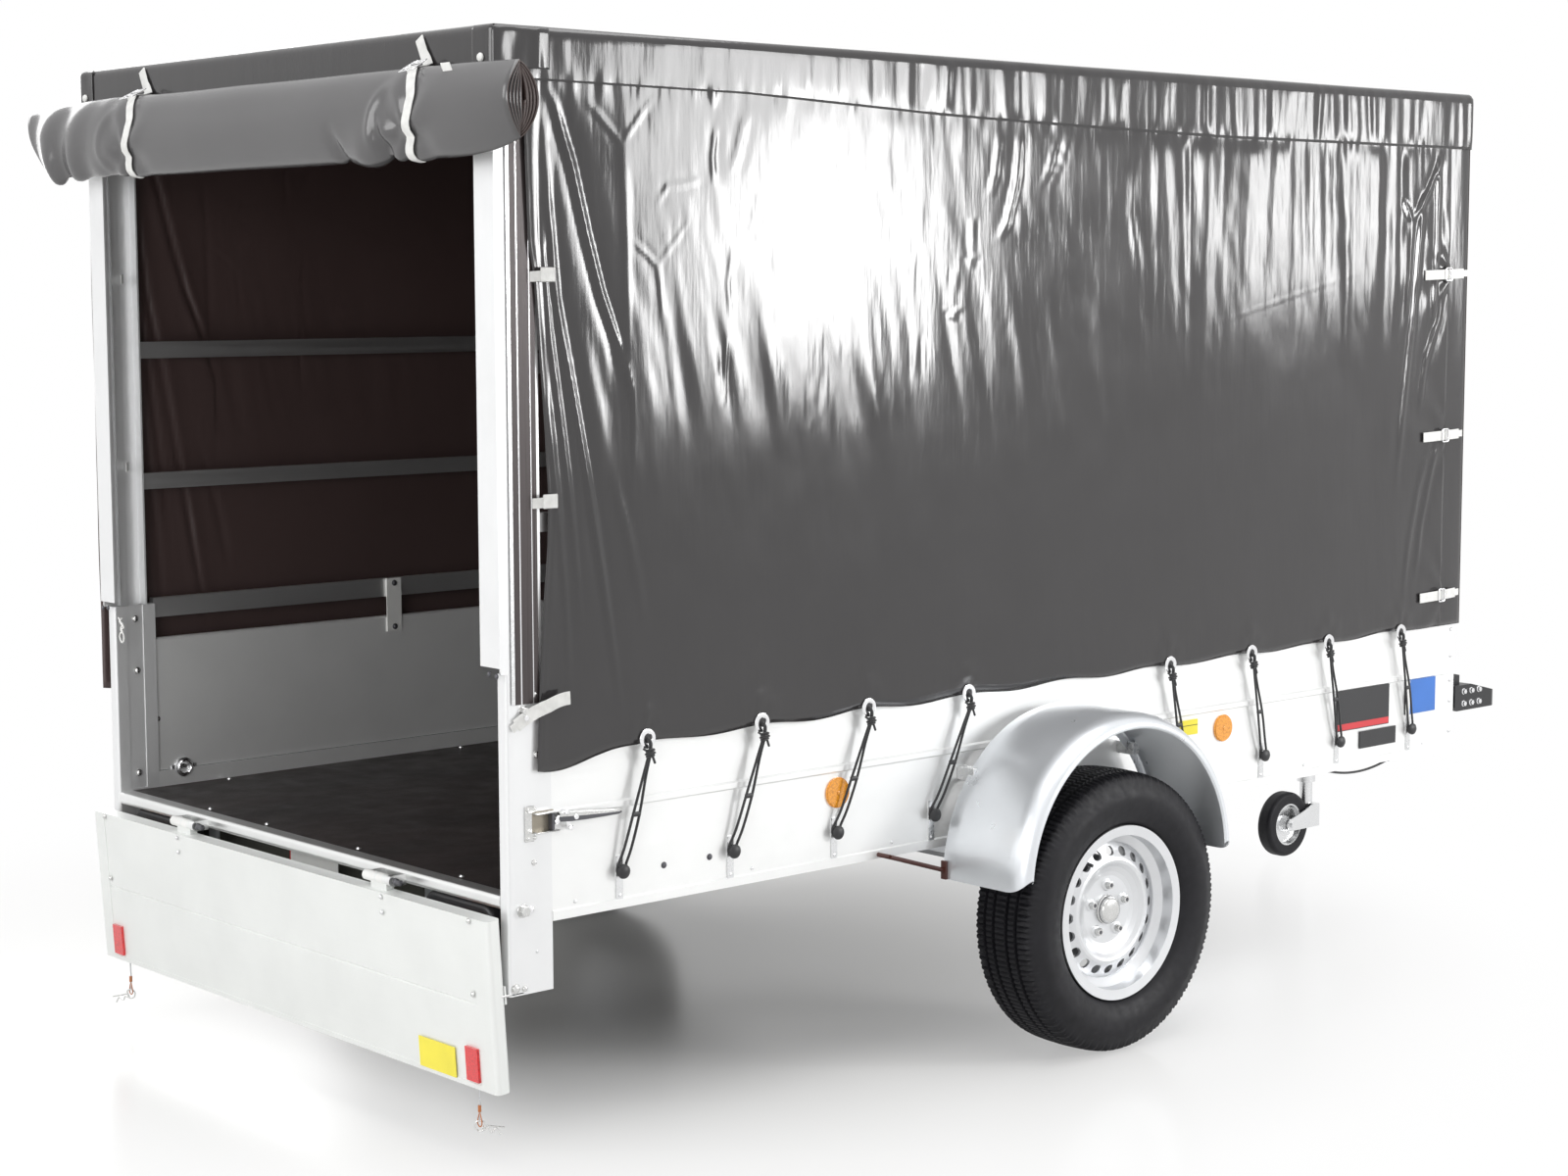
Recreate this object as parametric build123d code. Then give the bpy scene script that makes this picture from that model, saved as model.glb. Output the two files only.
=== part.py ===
"""Covered utility trailer: an aluminium box on a galvanised single-axle chassis with a V drawbar,
an overrun coupling, a telescopic jockey wheel and a tall tarpaulin over a slatted frame.

Every piece is modelled in build coordinates: x runs forward from the rear faces of the rear posts,
y to the left from the middle, z up from the ground, in millimetres.  save() moves the pieces so that
the origin lies on the ground under the middle of the overall length.  The tailgate hangs open.
"""

import os
from math import atan2, cos, hypot, pi, radians, sin

from build123d import *

# ---- box ------------------------------------------------------------------------------------------
BOX_LENGTH = 3080.0         # rear posts' rear faces to the front wall's outer face
BOX_WIDTH = 1550.0          # over the side walls
WALL = 25.0                 # thickness of a wall extrusion
RAIL_BOTTOM = 470.0         # height of the side rails' lower edge above the ground
RAIL_HEIGHT = 97.0
FLOOR_TOP = 530.0
FLOOR_THICKNESS = 15.0
WALL_HEIGHT = 350.0         # above the floor
SHEET = 4.0                 # thickness of the rail and post extrusions
RAIL_FLANGE = 75.0          # how far the C-shaped side rail reaches inward
RAIL_LIP = 3.0              # how far the rail's lower band stands out
RAIL_LIP_HEIGHT = 18.0
RIB_HEIGHT = 18.0           # raised band along the middle of each wall
RIB_PROUD = 4.0
RIB_BOTTOM = 671.0
CROSS_MEMBER_WIDTH = 40.0
CROSS_MEMBER_COUNT = 6

# ---- rear frame -----------------------------------------------------------------------------------
POST_LENGTH = 105.0         # along the trailer
POST_THICKNESS = 30.0
POST_BOTTOM = 335.0
POST_TOP = 962.0
SILL_LENGTH = 35.0
SILL_HEIGHT = 28.0
SILL_ROUNDING = 9.0
CARRIER_HEIGHT = 60.0       # beam between the posts' feet that carries the lamps
CARRIER_LENGTH = 45.0
LAMP_WIDTH = 235.0
LAMP_HEIGHT = 138.0
LAMP_DEPTH = 48.0
LAMP_GAP = 40.0             # from a lamp's outer end to the post
LAMP_SILL_GAP = 3.0
PLATE_WIDTH = 520.0
PLATE_HEIGHT = 112.0

# ---- tailgate -------------------------------------------------------------------------------------
GATE_GAP = 6.0              # between the posts' rear faces and the closed gate
GATE_FRAME = 34.0           # thickness of the gate's edge profiles
GATE_RECESS = 1.5           # panel's faces inside the edge profiles' faces
GATE_HEIGHT = 345.0
GATE_SILL_GAP = 2.0         # closed gate's lower edge above the floor's top
GATE_SEAM = 3.0             # depth of the seam grooves in the gate's faces
GATE_CAP = 50.0             # width of the gate's end profiles
GATE_EDGE = 10.0            # height of its upper and lower profiles
GATE_ROUNDING = 11.0        # rounding of the gate's end profiles
HINGE_BACK = 30.0           # hinge axis behind the posts' rear faces
HINGE_DROP = 18.0           # hinge axis below the floor's top
HINGE_OFFSET = 386.0        # hinges to each side of the middle
KNUCKLE_RADIUS = 11.0
KNUCKLE_LENGTH = 56.0
HINGE_PIN_RADIUS = 5.0
HINGE_CLEARANCE = 0.08
LUG_WIDTH = 14.0
HANG_ANGLE = 183.6          # from closed to hanging open, where the gate leans on its stops
LANYARD_OFFSET = 690.0
LANYARD_LENGTH = 70.0
LANYARD_RADIUS = 2.0
CLIP_WIRE = 1.6             # radius of the hairpin clips' wire
CLIP_EYE = 7.0
CLIP_LENGTH = 52.0
CLIP_SHORT = 0.8            # short leg's share of the long one
REFLECTOR_WIDTH = 40.0
REFLECTOR_HEIGHT = 68.0
REFLECTOR_DEPTH = 6.0
REFLECTOR_GAP = 5.0         # from the tailgate's edge profiles
CATCH_WIDTH = 36.0          # plates on the tailgate's ends that the side latches pull on
CATCH_DEPTH = 16.0
LATCH_X = 44.0              # rear edge of the side latches' base plates
LATCH_PLATE = 38.0
LATCH_HEIGHT = 20.0
LATCH_DEPTH = 20.0
LATCH_LEVER = 186.0

# ---- cover frame and cover ------------------------------------------------------------------------
COVER_TOP = 2180.0
COVER_SHEET = 4.0
COVER_HEM = 775.0           # height of the cover's lower edge
COVER_OVERHANG = 17.0       # cover's outer side beyond the side wall
COVER_FRONT_GAP = 14.0      # cover's outer front ahead of the front wall
SKIRT_HEIGHT = 118.0        # sewn band under the roof's edge
COVER_SIDE_START = 92.0     # rear edge of the side panels
VALANCE_HEIGHT = 76.0
VALANCE_BACK = 22.0
STAKE_FLANGE = 60.0
STAKE_WEB = 100.0
STAKE_BACK = 15.0           # rear stakes' flange behind the posts' rear faces
STAKE_FOOT = 975.0          # lower end of the rear stakes' flange
ROOF_TUBE = 30.0
ROOF_BOW_COUNT = 4
SLAT_THICKNESS = 18.0
SLAT_HEIGHTS = {"lower": (929.0, 45.0), "middle": (1229.0, 37.0), "upper": (1531.0, 38.0)}
BRACKET_WIDTH = 42.0
ROLL_LENGTH = 1900.0
ROLL_HEIGHT = 165.0
ROLL_DEPTH = 92.0
ROLL_DROP = 154.0           # rolled rear flap's middle below the cover's top
ROLL_GAP = 0.3              # between the valance and the roll
ROLL_LEAN = 8.0             # degrees
ROLL_END = 70.0             # tapered length at each end
ROLL_STRAP_OFFSET = 532.0
ROLL_STRAP_SHIFT = -76.0    # both straps' middle off the trailer's middle, towards the right
STRAP_WIDTH = 26.0
STRAP_THICKNESS = 3.0
TIE_PITCH = 302.0           # spacing of the elastic ties along the hem
TIE_FIRST = 332.0           # eyelet of the rearmost tie
TIE_MIDDLE = 1577.0         # the ties are mirrored about this place over the mudguard
TIE_COUNT = 4               # ties behind and ahead of the mudguard
TIE_RADIUS = 3.0
TIE_LEAN = 62.0             # how far the lower end of a tie is moved towards the box's end
EYELET_RISE = 30.0          # eyelets above the cover's lower edge
BUTTON_RISE = 76.0          # buttons above the side rails' lower edge
BUTTON_RADIUS = 8.0
BUTTON_HEAD_RADIUS = 12.0
BUTTON_STANDOFF = 12.0
BUTTON_HEAD = 4.0
KNOT_SIZE = 12.0
KNOT_DROP = 18.0            # knots below the eyelets' middles
TIE_GAP = 2.0
FRONT_TIES = 4
AMBER_OFFSET = 636.0        # round side reflectors to each side of the mudguards' middle
AMBER_DROP = 42.0           # below the walls' raised band
AMBER_RADIUS = 31.0

# ---- wiring ---------------------------------------------------------------------------------------
LEAD_RADIUS = 3.0
LEAD_SPAN = 250.0
LEAD_FRONT = 230.0          # foremost grommet behind the box's front
LEAD_SAG = 16.0
GROMMET_HEIGHT = 8.0

# ---- axle and wheels ------------------------------------------------------------------------------
AXLE_X = 1490.0
TRACK = 1896.0
TYRE_RADIUS = 314.0
TYRE_WIDTH = 188.0
TYRE_WALL = 13.0
BEAD_RADIUS = 178.0
RIM_FLANGE_RADIUS = 195.0
RIM_WIDTH = 152.0
RIM_SHEET = 5.0
DISC_OFFSET = 24.0          # wheel's mounting face outside its middle plane
BORE_RADIUS = 33.0          # centre bore of the wheel disc
VENT_COUNT = 20
VENT_WIDTH = 20.0
VENT_LENGTH = 24.0
VENT_RING_RADIUS = 134.0
DRUM_RADIUS = 116.0
DRUM_DEPTH = 66.0
HUB_CAP_RADIUS = 31.0
STUB_RADIUS = 20.0
STUB_CLEARANCE = 0.06
ARM_REACH = 150.0           # from the axle beam back to the wheel's centre
ARM_INSET = 210.0           # arms' inner faces inside the wheels' middles
ARM_THICKNESS = 36.0
AXLE_TUBE = 80.0
GUARD_X = 1495.0            # middle of the mudguards
GUARD_RADIUS = 352.0        # half-round arch
GUARD_END = 408.0           # height of the mudguards' ends
GUARD_SHEET = 3.0
GUARD_WIDTH = 245.0
GUARD_GAP = 28.0            # between a side rail's lip and the mudguard
GUARD_BRACKET = 24.0        # brackets from the side wall to the mudguard's inner lip
GUARD_BRACKET_REACH = 256.0 # brackets to each side of the mudguard's middle
GUARD_LIP = 28.0
STAY_RADIUS = 5.0
STAY_REACH = 165.0          # stays' bolts beyond the mudguards' ends
STAY_FOOT = 20.0

# ---- drawbar, coupling and jockey wheel -----------------------------------------------------------
BEAM_WIDTH = 50.0
BEAM_HEIGHT = 80.0
BEAM_SPREAD = 470.0         # beams to each side of the middle under the box
BEAM_REAR = 235.0           # beams' rear ends behind the axle
BEAM_BEND = 780.0           # bends behind the box's front
BEAM_NOSE_Y = 56.0
DRAWBAR_REACH = 1302.0      # coupling's nose ahead of the box's front
COUPLING_LENGTH = 225.0
COUPLING_WIDTH = 84.0
COUPLING_HEIGHT = 80.0
COUPLING_Z = 412.0
COUPLING_SLOPE = 0.42       # share of the height that the top falls towards the nose
BALL_RADIUS = 25.2          # socket for a 50 mm ball
BALL_BACK = 62.0            # socket's middle behind the nose
SOCKET_DEPTH = 20.0
HANDLE_WIDTH = 28.0
OVERRUN_TRAVEL = 165.0      # bellows between the beams' noses and the coupling
OVERRUN_TUBE_RADIUS = 27.0
OVERRUN_HOUSING = 330.0
BELLOWS_FOLDS = 6
BELLOWS_DEPTH = 12.0
NOSE_PLATE = 14.0
BRAKE_LEVER_LENGTH = 360.0
BRAKE_LEVER_RISE = 60.0
BRAKE_GRIP_LENGTH = 110.0
JOCKEY_BACK = 424.0         # jockey's tube behind the beams' noses
JOCKEY_Y = 72.0
JOCKEY_OUTER_RADIUS = 24.0
JOCKEY_INNER_RADIUS = 19.0
JOCKEY_TUBE_WALL = 3.0
JOCKEY_SLIDE_GAP = 0.08
JOCKEY_STEM_CLEARANCE = 0.08
JOCKEY_TUBE_BOTTOM = 212.0
JOCKEY_TUBE_LENGTH = 478.0
JOCKEY_COLLAR_HEIGHT = 34.0
JOCKEY_WHEEL_RADIUS = 96.0
JOCKEY_WHEEL_WIDTH = 48.0
JOCKEY_RIM_RADIUS = 62.0
JOCKEY_TRAIL = 108.0
JOCKEY_AXLE_RADIUS = 8.0
JOCKEY_WIND_IN = 50.0       # how far the leg can be wound up from where it stands
JOCKEY_WIND_OUT = 150.0
JOCKEY_LIFT = 145.0         # how far the outer tube can be drawn up in its clamp
CRANK_REACH = 110.0
CRANK_GRIP = 96.0
CLAMP_LENGTH = 60.0
CLAMP_SCREW = 70.0
FORK_SHEET = 4.0
FORK_CLEARANCE = 6.0

# ---- worked out -----------------------------------------------------------------------------------
HALF = BOX_WIDTH / 2
INNER = HALF - POST_THICKNESS
RAIL_TOP = RAIL_BOTTOM + RAIL_HEIGHT
EYELET_HEIGHT = COVER_HEM + EYELET_RISE
BUTTON_HEIGHT = RAIL_BOTTOM + BUTTON_RISE
WALL_TOP = FLOOR_TOP + WALL_HEIGHT
FLOOR_UNDER = FLOOR_TOP - FLOOR_THICKNESS
FRONT_INNER = BOX_LENGTH - WALL
HINGE_X = -HINGE_BACK
HINGE_Z = FLOOR_TOP - HINGE_DROP
GATE_INNER = -GATE_GAP
GATE_OUTER = GATE_INNER - GATE_FRAME
GATE_LOW = FLOOR_TOP + GATE_SILL_GAP
GATE_HIGH = GATE_LOW + GATE_HEIGHT
WHEEL_Y = TRACK / 2
COVER_HALF = HALF + COVER_OVERHANG
COVER_FRONT = BOX_LENGTH + COVER_FRONT_GAP
FRAME_TOP = COVER_TOP - COVER_SHEET
ROLL_Z = COVER_TOP - ROLL_DROP
ROLL_REACH = hypot(ROLL_DEPTH / 2 * cos(radians(ROLL_LEAN)), ROLL_HEIGHT / 2 * sin(radians(ROLL_LEAN)))
ROLL_X = -VALANCE_BACK - ROLL_REACH - ROLL_GAP
TAIL = ROLL_X - ROLL_REACH - STRAP_THICKNESS
COUPLING_NOSE = BOX_LENGTH + DRAWBAR_REACH
BEAM_NOSE_X = COUPLING_NOSE - COUPLING_LENGTH - OVERRUN_TRAVEL
BEAM_BEND_X = BOX_LENGTH - BEAM_BEND
BEAM_REAR_X = AXLE_X - BEAM_REAR
BEAM_SLOPE = (BEAM_SPREAD - BEAM_NOSE_Y) / (BEAM_NOSE_X - BEAM_BEND_X)
BEAM_HALF = BEAM_WIDTH / 2 * hypot(1, BEAM_SLOPE)
JOCKEY_X = BEAM_NOSE_X - JOCKEY_BACK
JOCKEY_TUBE_TOP = JOCKEY_TUBE_BOTTOM + JOCKEY_TUBE_LENGTH
MIDDLE_X = (COUPLING_NOSE + TAIL) / 2
BEAM_TOP = RAIL_BOTTOM + SHEET + 2
BEAM_BOTTOM = BEAM_TOP - BEAM_HEIGHT
SIDES = {"left": 1, "right": -1}


# ---- small helpers --------------------------------------------------------------------------------
def block(x, y, z):
    """A box between two values on each axis."""
    low = [min(pair) for pair in (x, y, z)]
    high = [max(pair) for pair in (x, y, z)]
    size = [b - a for a, b in zip(low, high)]
    centre = [(a + b) / 2 for a, b in zip(low, high)]
    return Pos(*centre) * Box(*size)


def along_x(outline, x):
    """A (y, z) outline extruded from x[0] to x[1]."""
    face = Plane.YZ * Polygon(*outline, align=None)
    return Pos(x[0], 0, 0) * extrude(face, x[1] - x[0], dir=(1, 0, 0))


def along_y(outline, y):
    """An (x, z) outline extruded from y[0] to y[1]."""
    face = Plane.XZ * Polygon(*outline, align=None)
    return Pos(0, y[0], 0) * extrude(face, y[1] - y[0], dir=(0, 1, 0))


def along_z(outline, z):
    """An (x, y) outline extruded from z[0] to z[1]."""
    face = Plane.XY * Polygon(*outline, align=None)
    return Pos(0, 0, z[0]) * extrude(face, z[1] - z[0], dir=(0, 0, 1))


def rod(start, end, radius):
    """A round bar between two points."""
    axis = Vector(end) - Vector(start)
    plane = Plane(origin=start, z_dir=axis)
    return plane * Cylinder(radius, axis.length, align=(Align.CENTER, Align.CENTER, Align.MIN))


def on_side(shape, side):
    """A shape modelled on the left, kept there or mirrored to the right."""
    return shape if SIDES[side] > 0 else mirror(shape, about=Plane.XZ)


def spin_y(outline, centre):
    """A (y, radius) outline revolved about the line through centre along y."""
    face = Plane.YZ * Polygon(*outline, align=None)
    return Pos(*centre) * revolve(face, axis=Axis.Y)


def save(name, *shapes):
    """Writes one node's solids, moved to the row frame."""
    solids = [solid for shape in shapes for solid in shape.solids()]
    moved = Pos(-MIDDLE_X, 0, 0) * Compound(children=solids)
    export_step(moved, f"parts/{name}.step")


# ---- box ------------------------------------------------------------------------------------------
def side_rail():
    """Left side rail: a C-shaped extrusion with a ledge for the floor and a closed band above it."""
    inside = HALF - RAIL_FLANGE
    web = HALF - SHEET
    outline = [
        (inside, RAIL_BOTTOM),
        (HALF + RAIL_LIP, RAIL_BOTTOM),
        (HALF + RAIL_LIP, RAIL_BOTTOM + RAIL_LIP_HEIGHT),
        (HALF, RAIL_BOTTOM + RAIL_LIP_HEIGHT + RAIL_LIP),
        (HALF, RAIL_TOP),
        (INNER, RAIL_TOP),
        (INNER, FLOOR_UNDER),
        (inside, FLOOR_UNDER),
        (inside, FLOOR_UNDER - SHEET),
        (web, FLOOR_UNDER - SHEET),
        (web, RAIL_BOTTOM + SHEET),
        (inside, RAIL_BOTTOM + SHEET),
    ]
    return along_x(outline, (POST_LENGTH, FRONT_INNER))


def side_wall():
    """Left side wall above the rail, with its raised band and a rounded top bead."""
    bead = RIB_PROUD
    outline = [
        (HALF - WALL, RAIL_TOP),
        (HALF, RAIL_TOP),
        (HALF, RIB_BOTTOM),
        (HALF + RIB_PROUD, RIB_BOTTOM + RIB_PROUD),
        (HALF + RIB_PROUD, RIB_BOTTOM + RIB_HEIGHT - RIB_PROUD),
        (HALF, RIB_BOTTOM + RIB_HEIGHT),
        (HALF, WALL_TOP - bead),
        (HALF - bead, WALL_TOP),
        (HALF - WALL + bead, WALL_TOP),
        (HALF - WALL, WALL_TOP - bead),
    ]
    return along_x(outline, (POST_LENGTH, FRONT_INNER))


def front_wall():
    """Front wall between the side rails, down to their lower edges."""
    outline = [
        (FRONT_INNER, BEAM_TOP + 1),
        (BOX_LENGTH, BEAM_TOP + 1),
        (BOX_LENGTH, RIB_BOTTOM),
        (BOX_LENGTH + RIB_PROUD, RIB_BOTTOM + RIB_PROUD),
        (BOX_LENGTH + RIB_PROUD, RIB_BOTTOM + RIB_HEIGHT - RIB_PROUD),
        (BOX_LENGTH, RIB_BOTTOM + RIB_HEIGHT),
        (BOX_LENGTH, WALL_TOP),
        (FRONT_INNER, WALL_TOP),
    ]
    return along_y(outline, (-(HALF - SHEET), HALF - SHEET))


def front_post():
    """Left front corner angle, which closes the walls' corner."""
    flange = POST_LENGTH / 2
    outline = [
        (FRONT_INNER, HALF - SHEET),
        (BOX_LENGTH, HALF - SHEET),
        (BOX_LENGTH, HALF - flange),
        (BOX_LENGTH + SHEET, HALF - flange),
        (BOX_LENGTH + SHEET, HALF),
        (FRONT_INNER, HALF),
    ]
    low = along_z(outline, (RAIL_BOTTOM, RIB_BOTTOM - RIB_PROUD))
    high = along_z(outline, (RIB_BOTTOM + RIB_HEIGHT + RIB_PROUD, WALL_TOP))
    strip = block(
        (FRONT_INNER, BOX_LENGTH + SHEET), (HALF - SHEET, HALF), (RAIL_BOTTOM, WALL_TOP)
    )
    return low + high + strip


def floor_board():
    """Plywood floor from the sill to the front wall, resting on the rails' ledges."""
    edge = INNER - 0.5
    return block((SILL_LENGTH, FRONT_INNER), (-edge, edge), (FLOOR_UNDER, FLOOR_TOP))


def cross_members():
    """Equally spaced bars under the floor, their ends housed in the side rails."""
    inside = HALF - RAIL_FLANGE
    web = HALF - SHEET
    first = POST_LENGTH + CROSS_MEMBER_WIDTH
    last = FRONT_INNER - CROSS_MEMBER_WIDTH
    pitch = (last - first) / (CROSS_MEMBER_COUNT - 1)
    bars = []
    for index in range(CROSS_MEMBER_COUNT):
        x = (
            first + index * pitch - CROSS_MEMBER_WIDTH / 2,
            first + index * pitch + CROSS_MEMBER_WIDTH / 2,
        )
        middle = block(x, (-inside, inside), (BEAM_TOP, FLOOR_UNDER))
        ends = block(x, (-web, web), (BEAM_TOP, FLOOR_UNDER - SHEET))
        bars.append(middle + ends)
    return bars


# ---- rear frame -----------------------------------------------------------------------------------
def rear_post():
    """Left rear post: a hollow extrusion with a rounded rear edge and a shallow groove inside."""
    y = (HALF - POST_THICKNESS, HALF)
    shell = block((0, POST_LENGTH), y, (POST_BOTTOM, POST_TOP))
    shell = fillet(shell.edges().filter_by(Axis.Z).group_by(Axis.X)[0], POST_THICKNESS / 5)
    hollow = block(
        (SHEET, POST_LENGTH - SHEET),
        (y[0] + SHEET, y[1] - SHEET),
        (POST_BOTTOM + SHEET, POST_TOP),
    )
    groove = block(
        (POST_LENGTH * 0.3, POST_LENGTH * 0.7),
        (y[0], y[0] + SHEET / 2),
        (FLOOR_TOP + SHEET, POST_TOP),
    )
    return shell - hollow - groove


def rear_sill():
    """Edge profile across the rear of the floor, with the hinge lugs that carry the tailgate."""
    outline = [
        (0, FLOOR_TOP - SILL_HEIGHT),
        (SILL_LENGTH, FLOOR_TOP - SILL_HEIGHT),
        (SILL_LENGTH, FLOOR_TOP),
        (0, FLOOR_TOP),
    ]
    sill = along_y(outline, (-INNER, INNER))
    sill = fillet(sill.edges().filter_by(Axis.Y).group_by(Axis.X)[0], SILL_ROUNDING)
    for middle in (-HINGE_OFFSET, HINGE_OFFSET):
        for way in (-1, 1):
            near = middle + way * (KNUCKLE_LENGTH / 2 + HINGE_CLEARANCE)
            far = near + way * LUG_WIDTH
            low, high = sorted((near, far))
            lug = rod((HINGE_X, low, HINGE_Z), (HINGE_X, high, HINGE_Z), KNUCKLE_RADIUS)
            foot = block(
                (HINGE_X, 0), (low, high), (HINGE_Z - KNUCKLE_RADIUS, HINGE_Z + KNUCKLE_RADIUS)
            )
            sill += lug + foot
        reach = KNUCKLE_LENGTH / 2 + HINGE_CLEARANCE + LUG_WIDTH / 2
        sill += rod(
            (HINGE_X, middle - reach, HINGE_Z), (HINGE_X, middle + reach, HINGE_Z), HINGE_PIN_RADIUS
        )
    return sill


def lamp_carrier():
    """Beam between the posts' feet, with two hangers up to the sill."""
    x = (POST_LENGTH - CARRIER_LENGTH, POST_LENGTH)
    beam = block(x, (-INNER, INNER), (POST_BOTTOM, POST_BOTTOM + CARRIER_HEIGHT))
    for side in (-1, 1):
        y = (side * (HINGE_OFFSET + 60), side * (HINGE_OFFSET + 20))
        beam += block(
            (x[0], x[0] + SHEET), y, (POST_BOTTOM + CARRIER_HEIGHT / 2, FLOOR_UNDER - SHEET)
        )
    return beam


def tail_lamp():
    """Left tail lamp: a rounded housing on the carrier's rear face."""
    front = POST_LENGTH - CARRIER_LENGTH
    outer = INNER - LAMP_GAP
    x = (front - LAMP_DEPTH, front)
    top = FLOOR_TOP - SILL_HEIGHT - LAMP_SILL_GAP
    z = (top - LAMP_HEIGHT, top)
    lamp = block(x, (outer - LAMP_WIDTH, outer), z)
    lamp = fillet(lamp.edges().filter_by(Axis.X), LAMP_HEIGHT / 4)
    return fillet(lamp.faces().sort_by(Axis.X)[0].edges(), LAMP_DEPTH / 5)


def plate_holder():
    """Blank number plate and its holder, between the lamps."""
    front = POST_LENGTH - CARRIER_LENGTH
    z = (POST_BOTTOM + 8, POST_BOTTOM + 8 + PLATE_HEIGHT)
    holder = block((front - 8, front), (-PLATE_WIDTH / 2, PLATE_WIDTH / 2), z)
    return fillet(holder.edges().filter_by(Axis.X), 6)


# ---- tailgate, modelled closed and then turned to its hanging place -------------------------------
def hang(shape):
    """Turns a piece of the closed tailgate about the hinge axis to where it hangs."""
    hinge = Pos(HINGE_X, 0, HINGE_Z)
    return hinge * Rot(0, -HANG_ANGLE, 0) * hinge.inverse() * shape


def gate_panel():
    """Tailgate panel of two interlocking extrusions, with a seam along the middle of each face."""
    inner = GATE_INNER - GATE_RECESS
    outer = GATE_OUTER + GATE_RECESS
    half = HALF - GATE_CAP
    seam = (GATE_LOW + GATE_HIGH) / 2
    notch = GATE_SEAM
    outline = [
        (outer, GATE_LOW + GATE_EDGE),
        (outer, seam - notch),
        (outer + notch, seam),
        (outer, seam + notch),
        (outer, GATE_HIGH - GATE_EDGE),
        (inner, GATE_HIGH - GATE_EDGE),
        (inner, seam + notch),
        (inner - notch, seam),
        (inner, seam - notch),
        (inner, GATE_LOW + GATE_EDGE),
    ]
    return hang(along_y(outline, (-half, half)))


def gate_frame():
    """Edge profiles round the tailgate, a little thicker than the panel, with the hinge leaves."""
    half = HALF - GATE_CAP
    ring = block((GATE_OUTER, GATE_INNER), (-HALF, HALF), (GATE_LOW, GATE_HIGH))
    ring = fillet(ring.edges().filter_by(Axis.Z), GATE_ROUNDING)
    ring -= block(
        (GATE_OUTER - 1, GATE_INNER + 1),
        (-half, half),
        (GATE_LOW + GATE_EDGE, GATE_HIGH - GATE_EDGE),
    )
    for middle in (-HINGE_OFFSET, HINGE_OFFSET):
        y = (middle - KNUCKLE_LENGTH / 2, middle + KNUCKLE_LENGTH / 2)
        knuckle = rod((HINGE_X, y[0], HINGE_Z), (HINGE_X, y[1], HINGE_Z), KNUCKLE_RADIUS)
        web = block(
            (HINGE_X - KNUCKLE_RADIUS * 0.8, HINGE_X + KNUCKLE_RADIUS * 0.8), y, (HINGE_Z, GATE_LOW + 1)
        )
        bore = rod(
            (HINGE_X, y[0] - 1, HINGE_Z),
            (HINGE_X, y[1] + 1, HINGE_Z),
            HINGE_PIN_RADIUS + HINGE_CLEARANCE,
        )
        ring += knuckle + web
        ring -= bore
    for side in (-1, 1):
        y = (side * (HALF - SHEET), side * (HALF - SHEET - CATCH_WIDTH))
        z = (RIB_BOTTOM - SHEET, RIB_BOTTOM - SHEET + CATCH_WIDTH)
        ring += block((GATE_OUTER - SHEET, GATE_OUTER), y, z)
        ring += block(
            (GATE_OUTER - CATCH_DEPTH, GATE_OUTER), (y[1], y[1] + side * SHEET), (z[0] + SHEET, z[1] - SHEET)
        )
    return hang(ring)


def gate_reflectors():
    """Red reflectors on the tailgate's inner face, near the edge that hangs lowest."""
    inner = GATE_INNER - GATE_RECESS
    top = GATE_HIGH - GATE_EDGE - REFLECTOR_GAP
    end = HALF - GATE_CAP - REFLECTOR_GAP
    reflectors = []
    for side in (-1, 1):
        y = (side * end, side * (end - REFLECTOR_WIDTH))
        reflector = block((inner, inner + REFLECTOR_DEPTH), y, (top - REFLECTOR_HEIGHT, top))
        reflectors.append(hang(reflector))
    return reflectors


def lanyard_end(side):
    """Lower end of a lanyard, below the middle of the tailgate's lowest edge."""
    edge = hang(Pos((GATE_OUTER + GATE_INNER) / 2, 0, GATE_HIGH) * Sphere(1)).center()
    return Vector(edge.X, side * LANYARD_OFFSET, edge.Z - LANYARD_LENGTH)


def gate_lanyards():
    """Lanyards that hang straight down from the tailgate's lowest edge."""
    lanyards = []
    for side in (-1, 1):
        end = lanyard_end(side)
        lanyards.append(rod(end + Vector(0, 0, LANYARD_LENGTH), end, LANYARD_RADIUS))
    return lanyards


def lanyard_clips():
    """Hairpin clips on the lanyards: an eye between a long leg and a shorter one."""
    clips = []
    for side in (-1, 1):
        eye = lanyard_end(side) - Vector(0, 0, CLIP_EYE)
        reach = CLIP_EYE - CLIP_WIRE
        near = eye - Vector(0, reach, 0)
        far = eye + Vector(0, reach, 0)
        wire = Line(near - Vector(0, 0, CLIP_LENGTH), near)
        wire += ThreePointArc(near, eye + Vector(0, 0, reach), far)
        wire += Line(far, far - Vector(0, 0, CLIP_LENGTH * CLIP_SHORT))
        clips.append(sweep(Plane(origin=wire @ 0, z_dir=wire % 0) * Circle(CLIP_WIRE), path=wire))
    return clips


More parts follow.
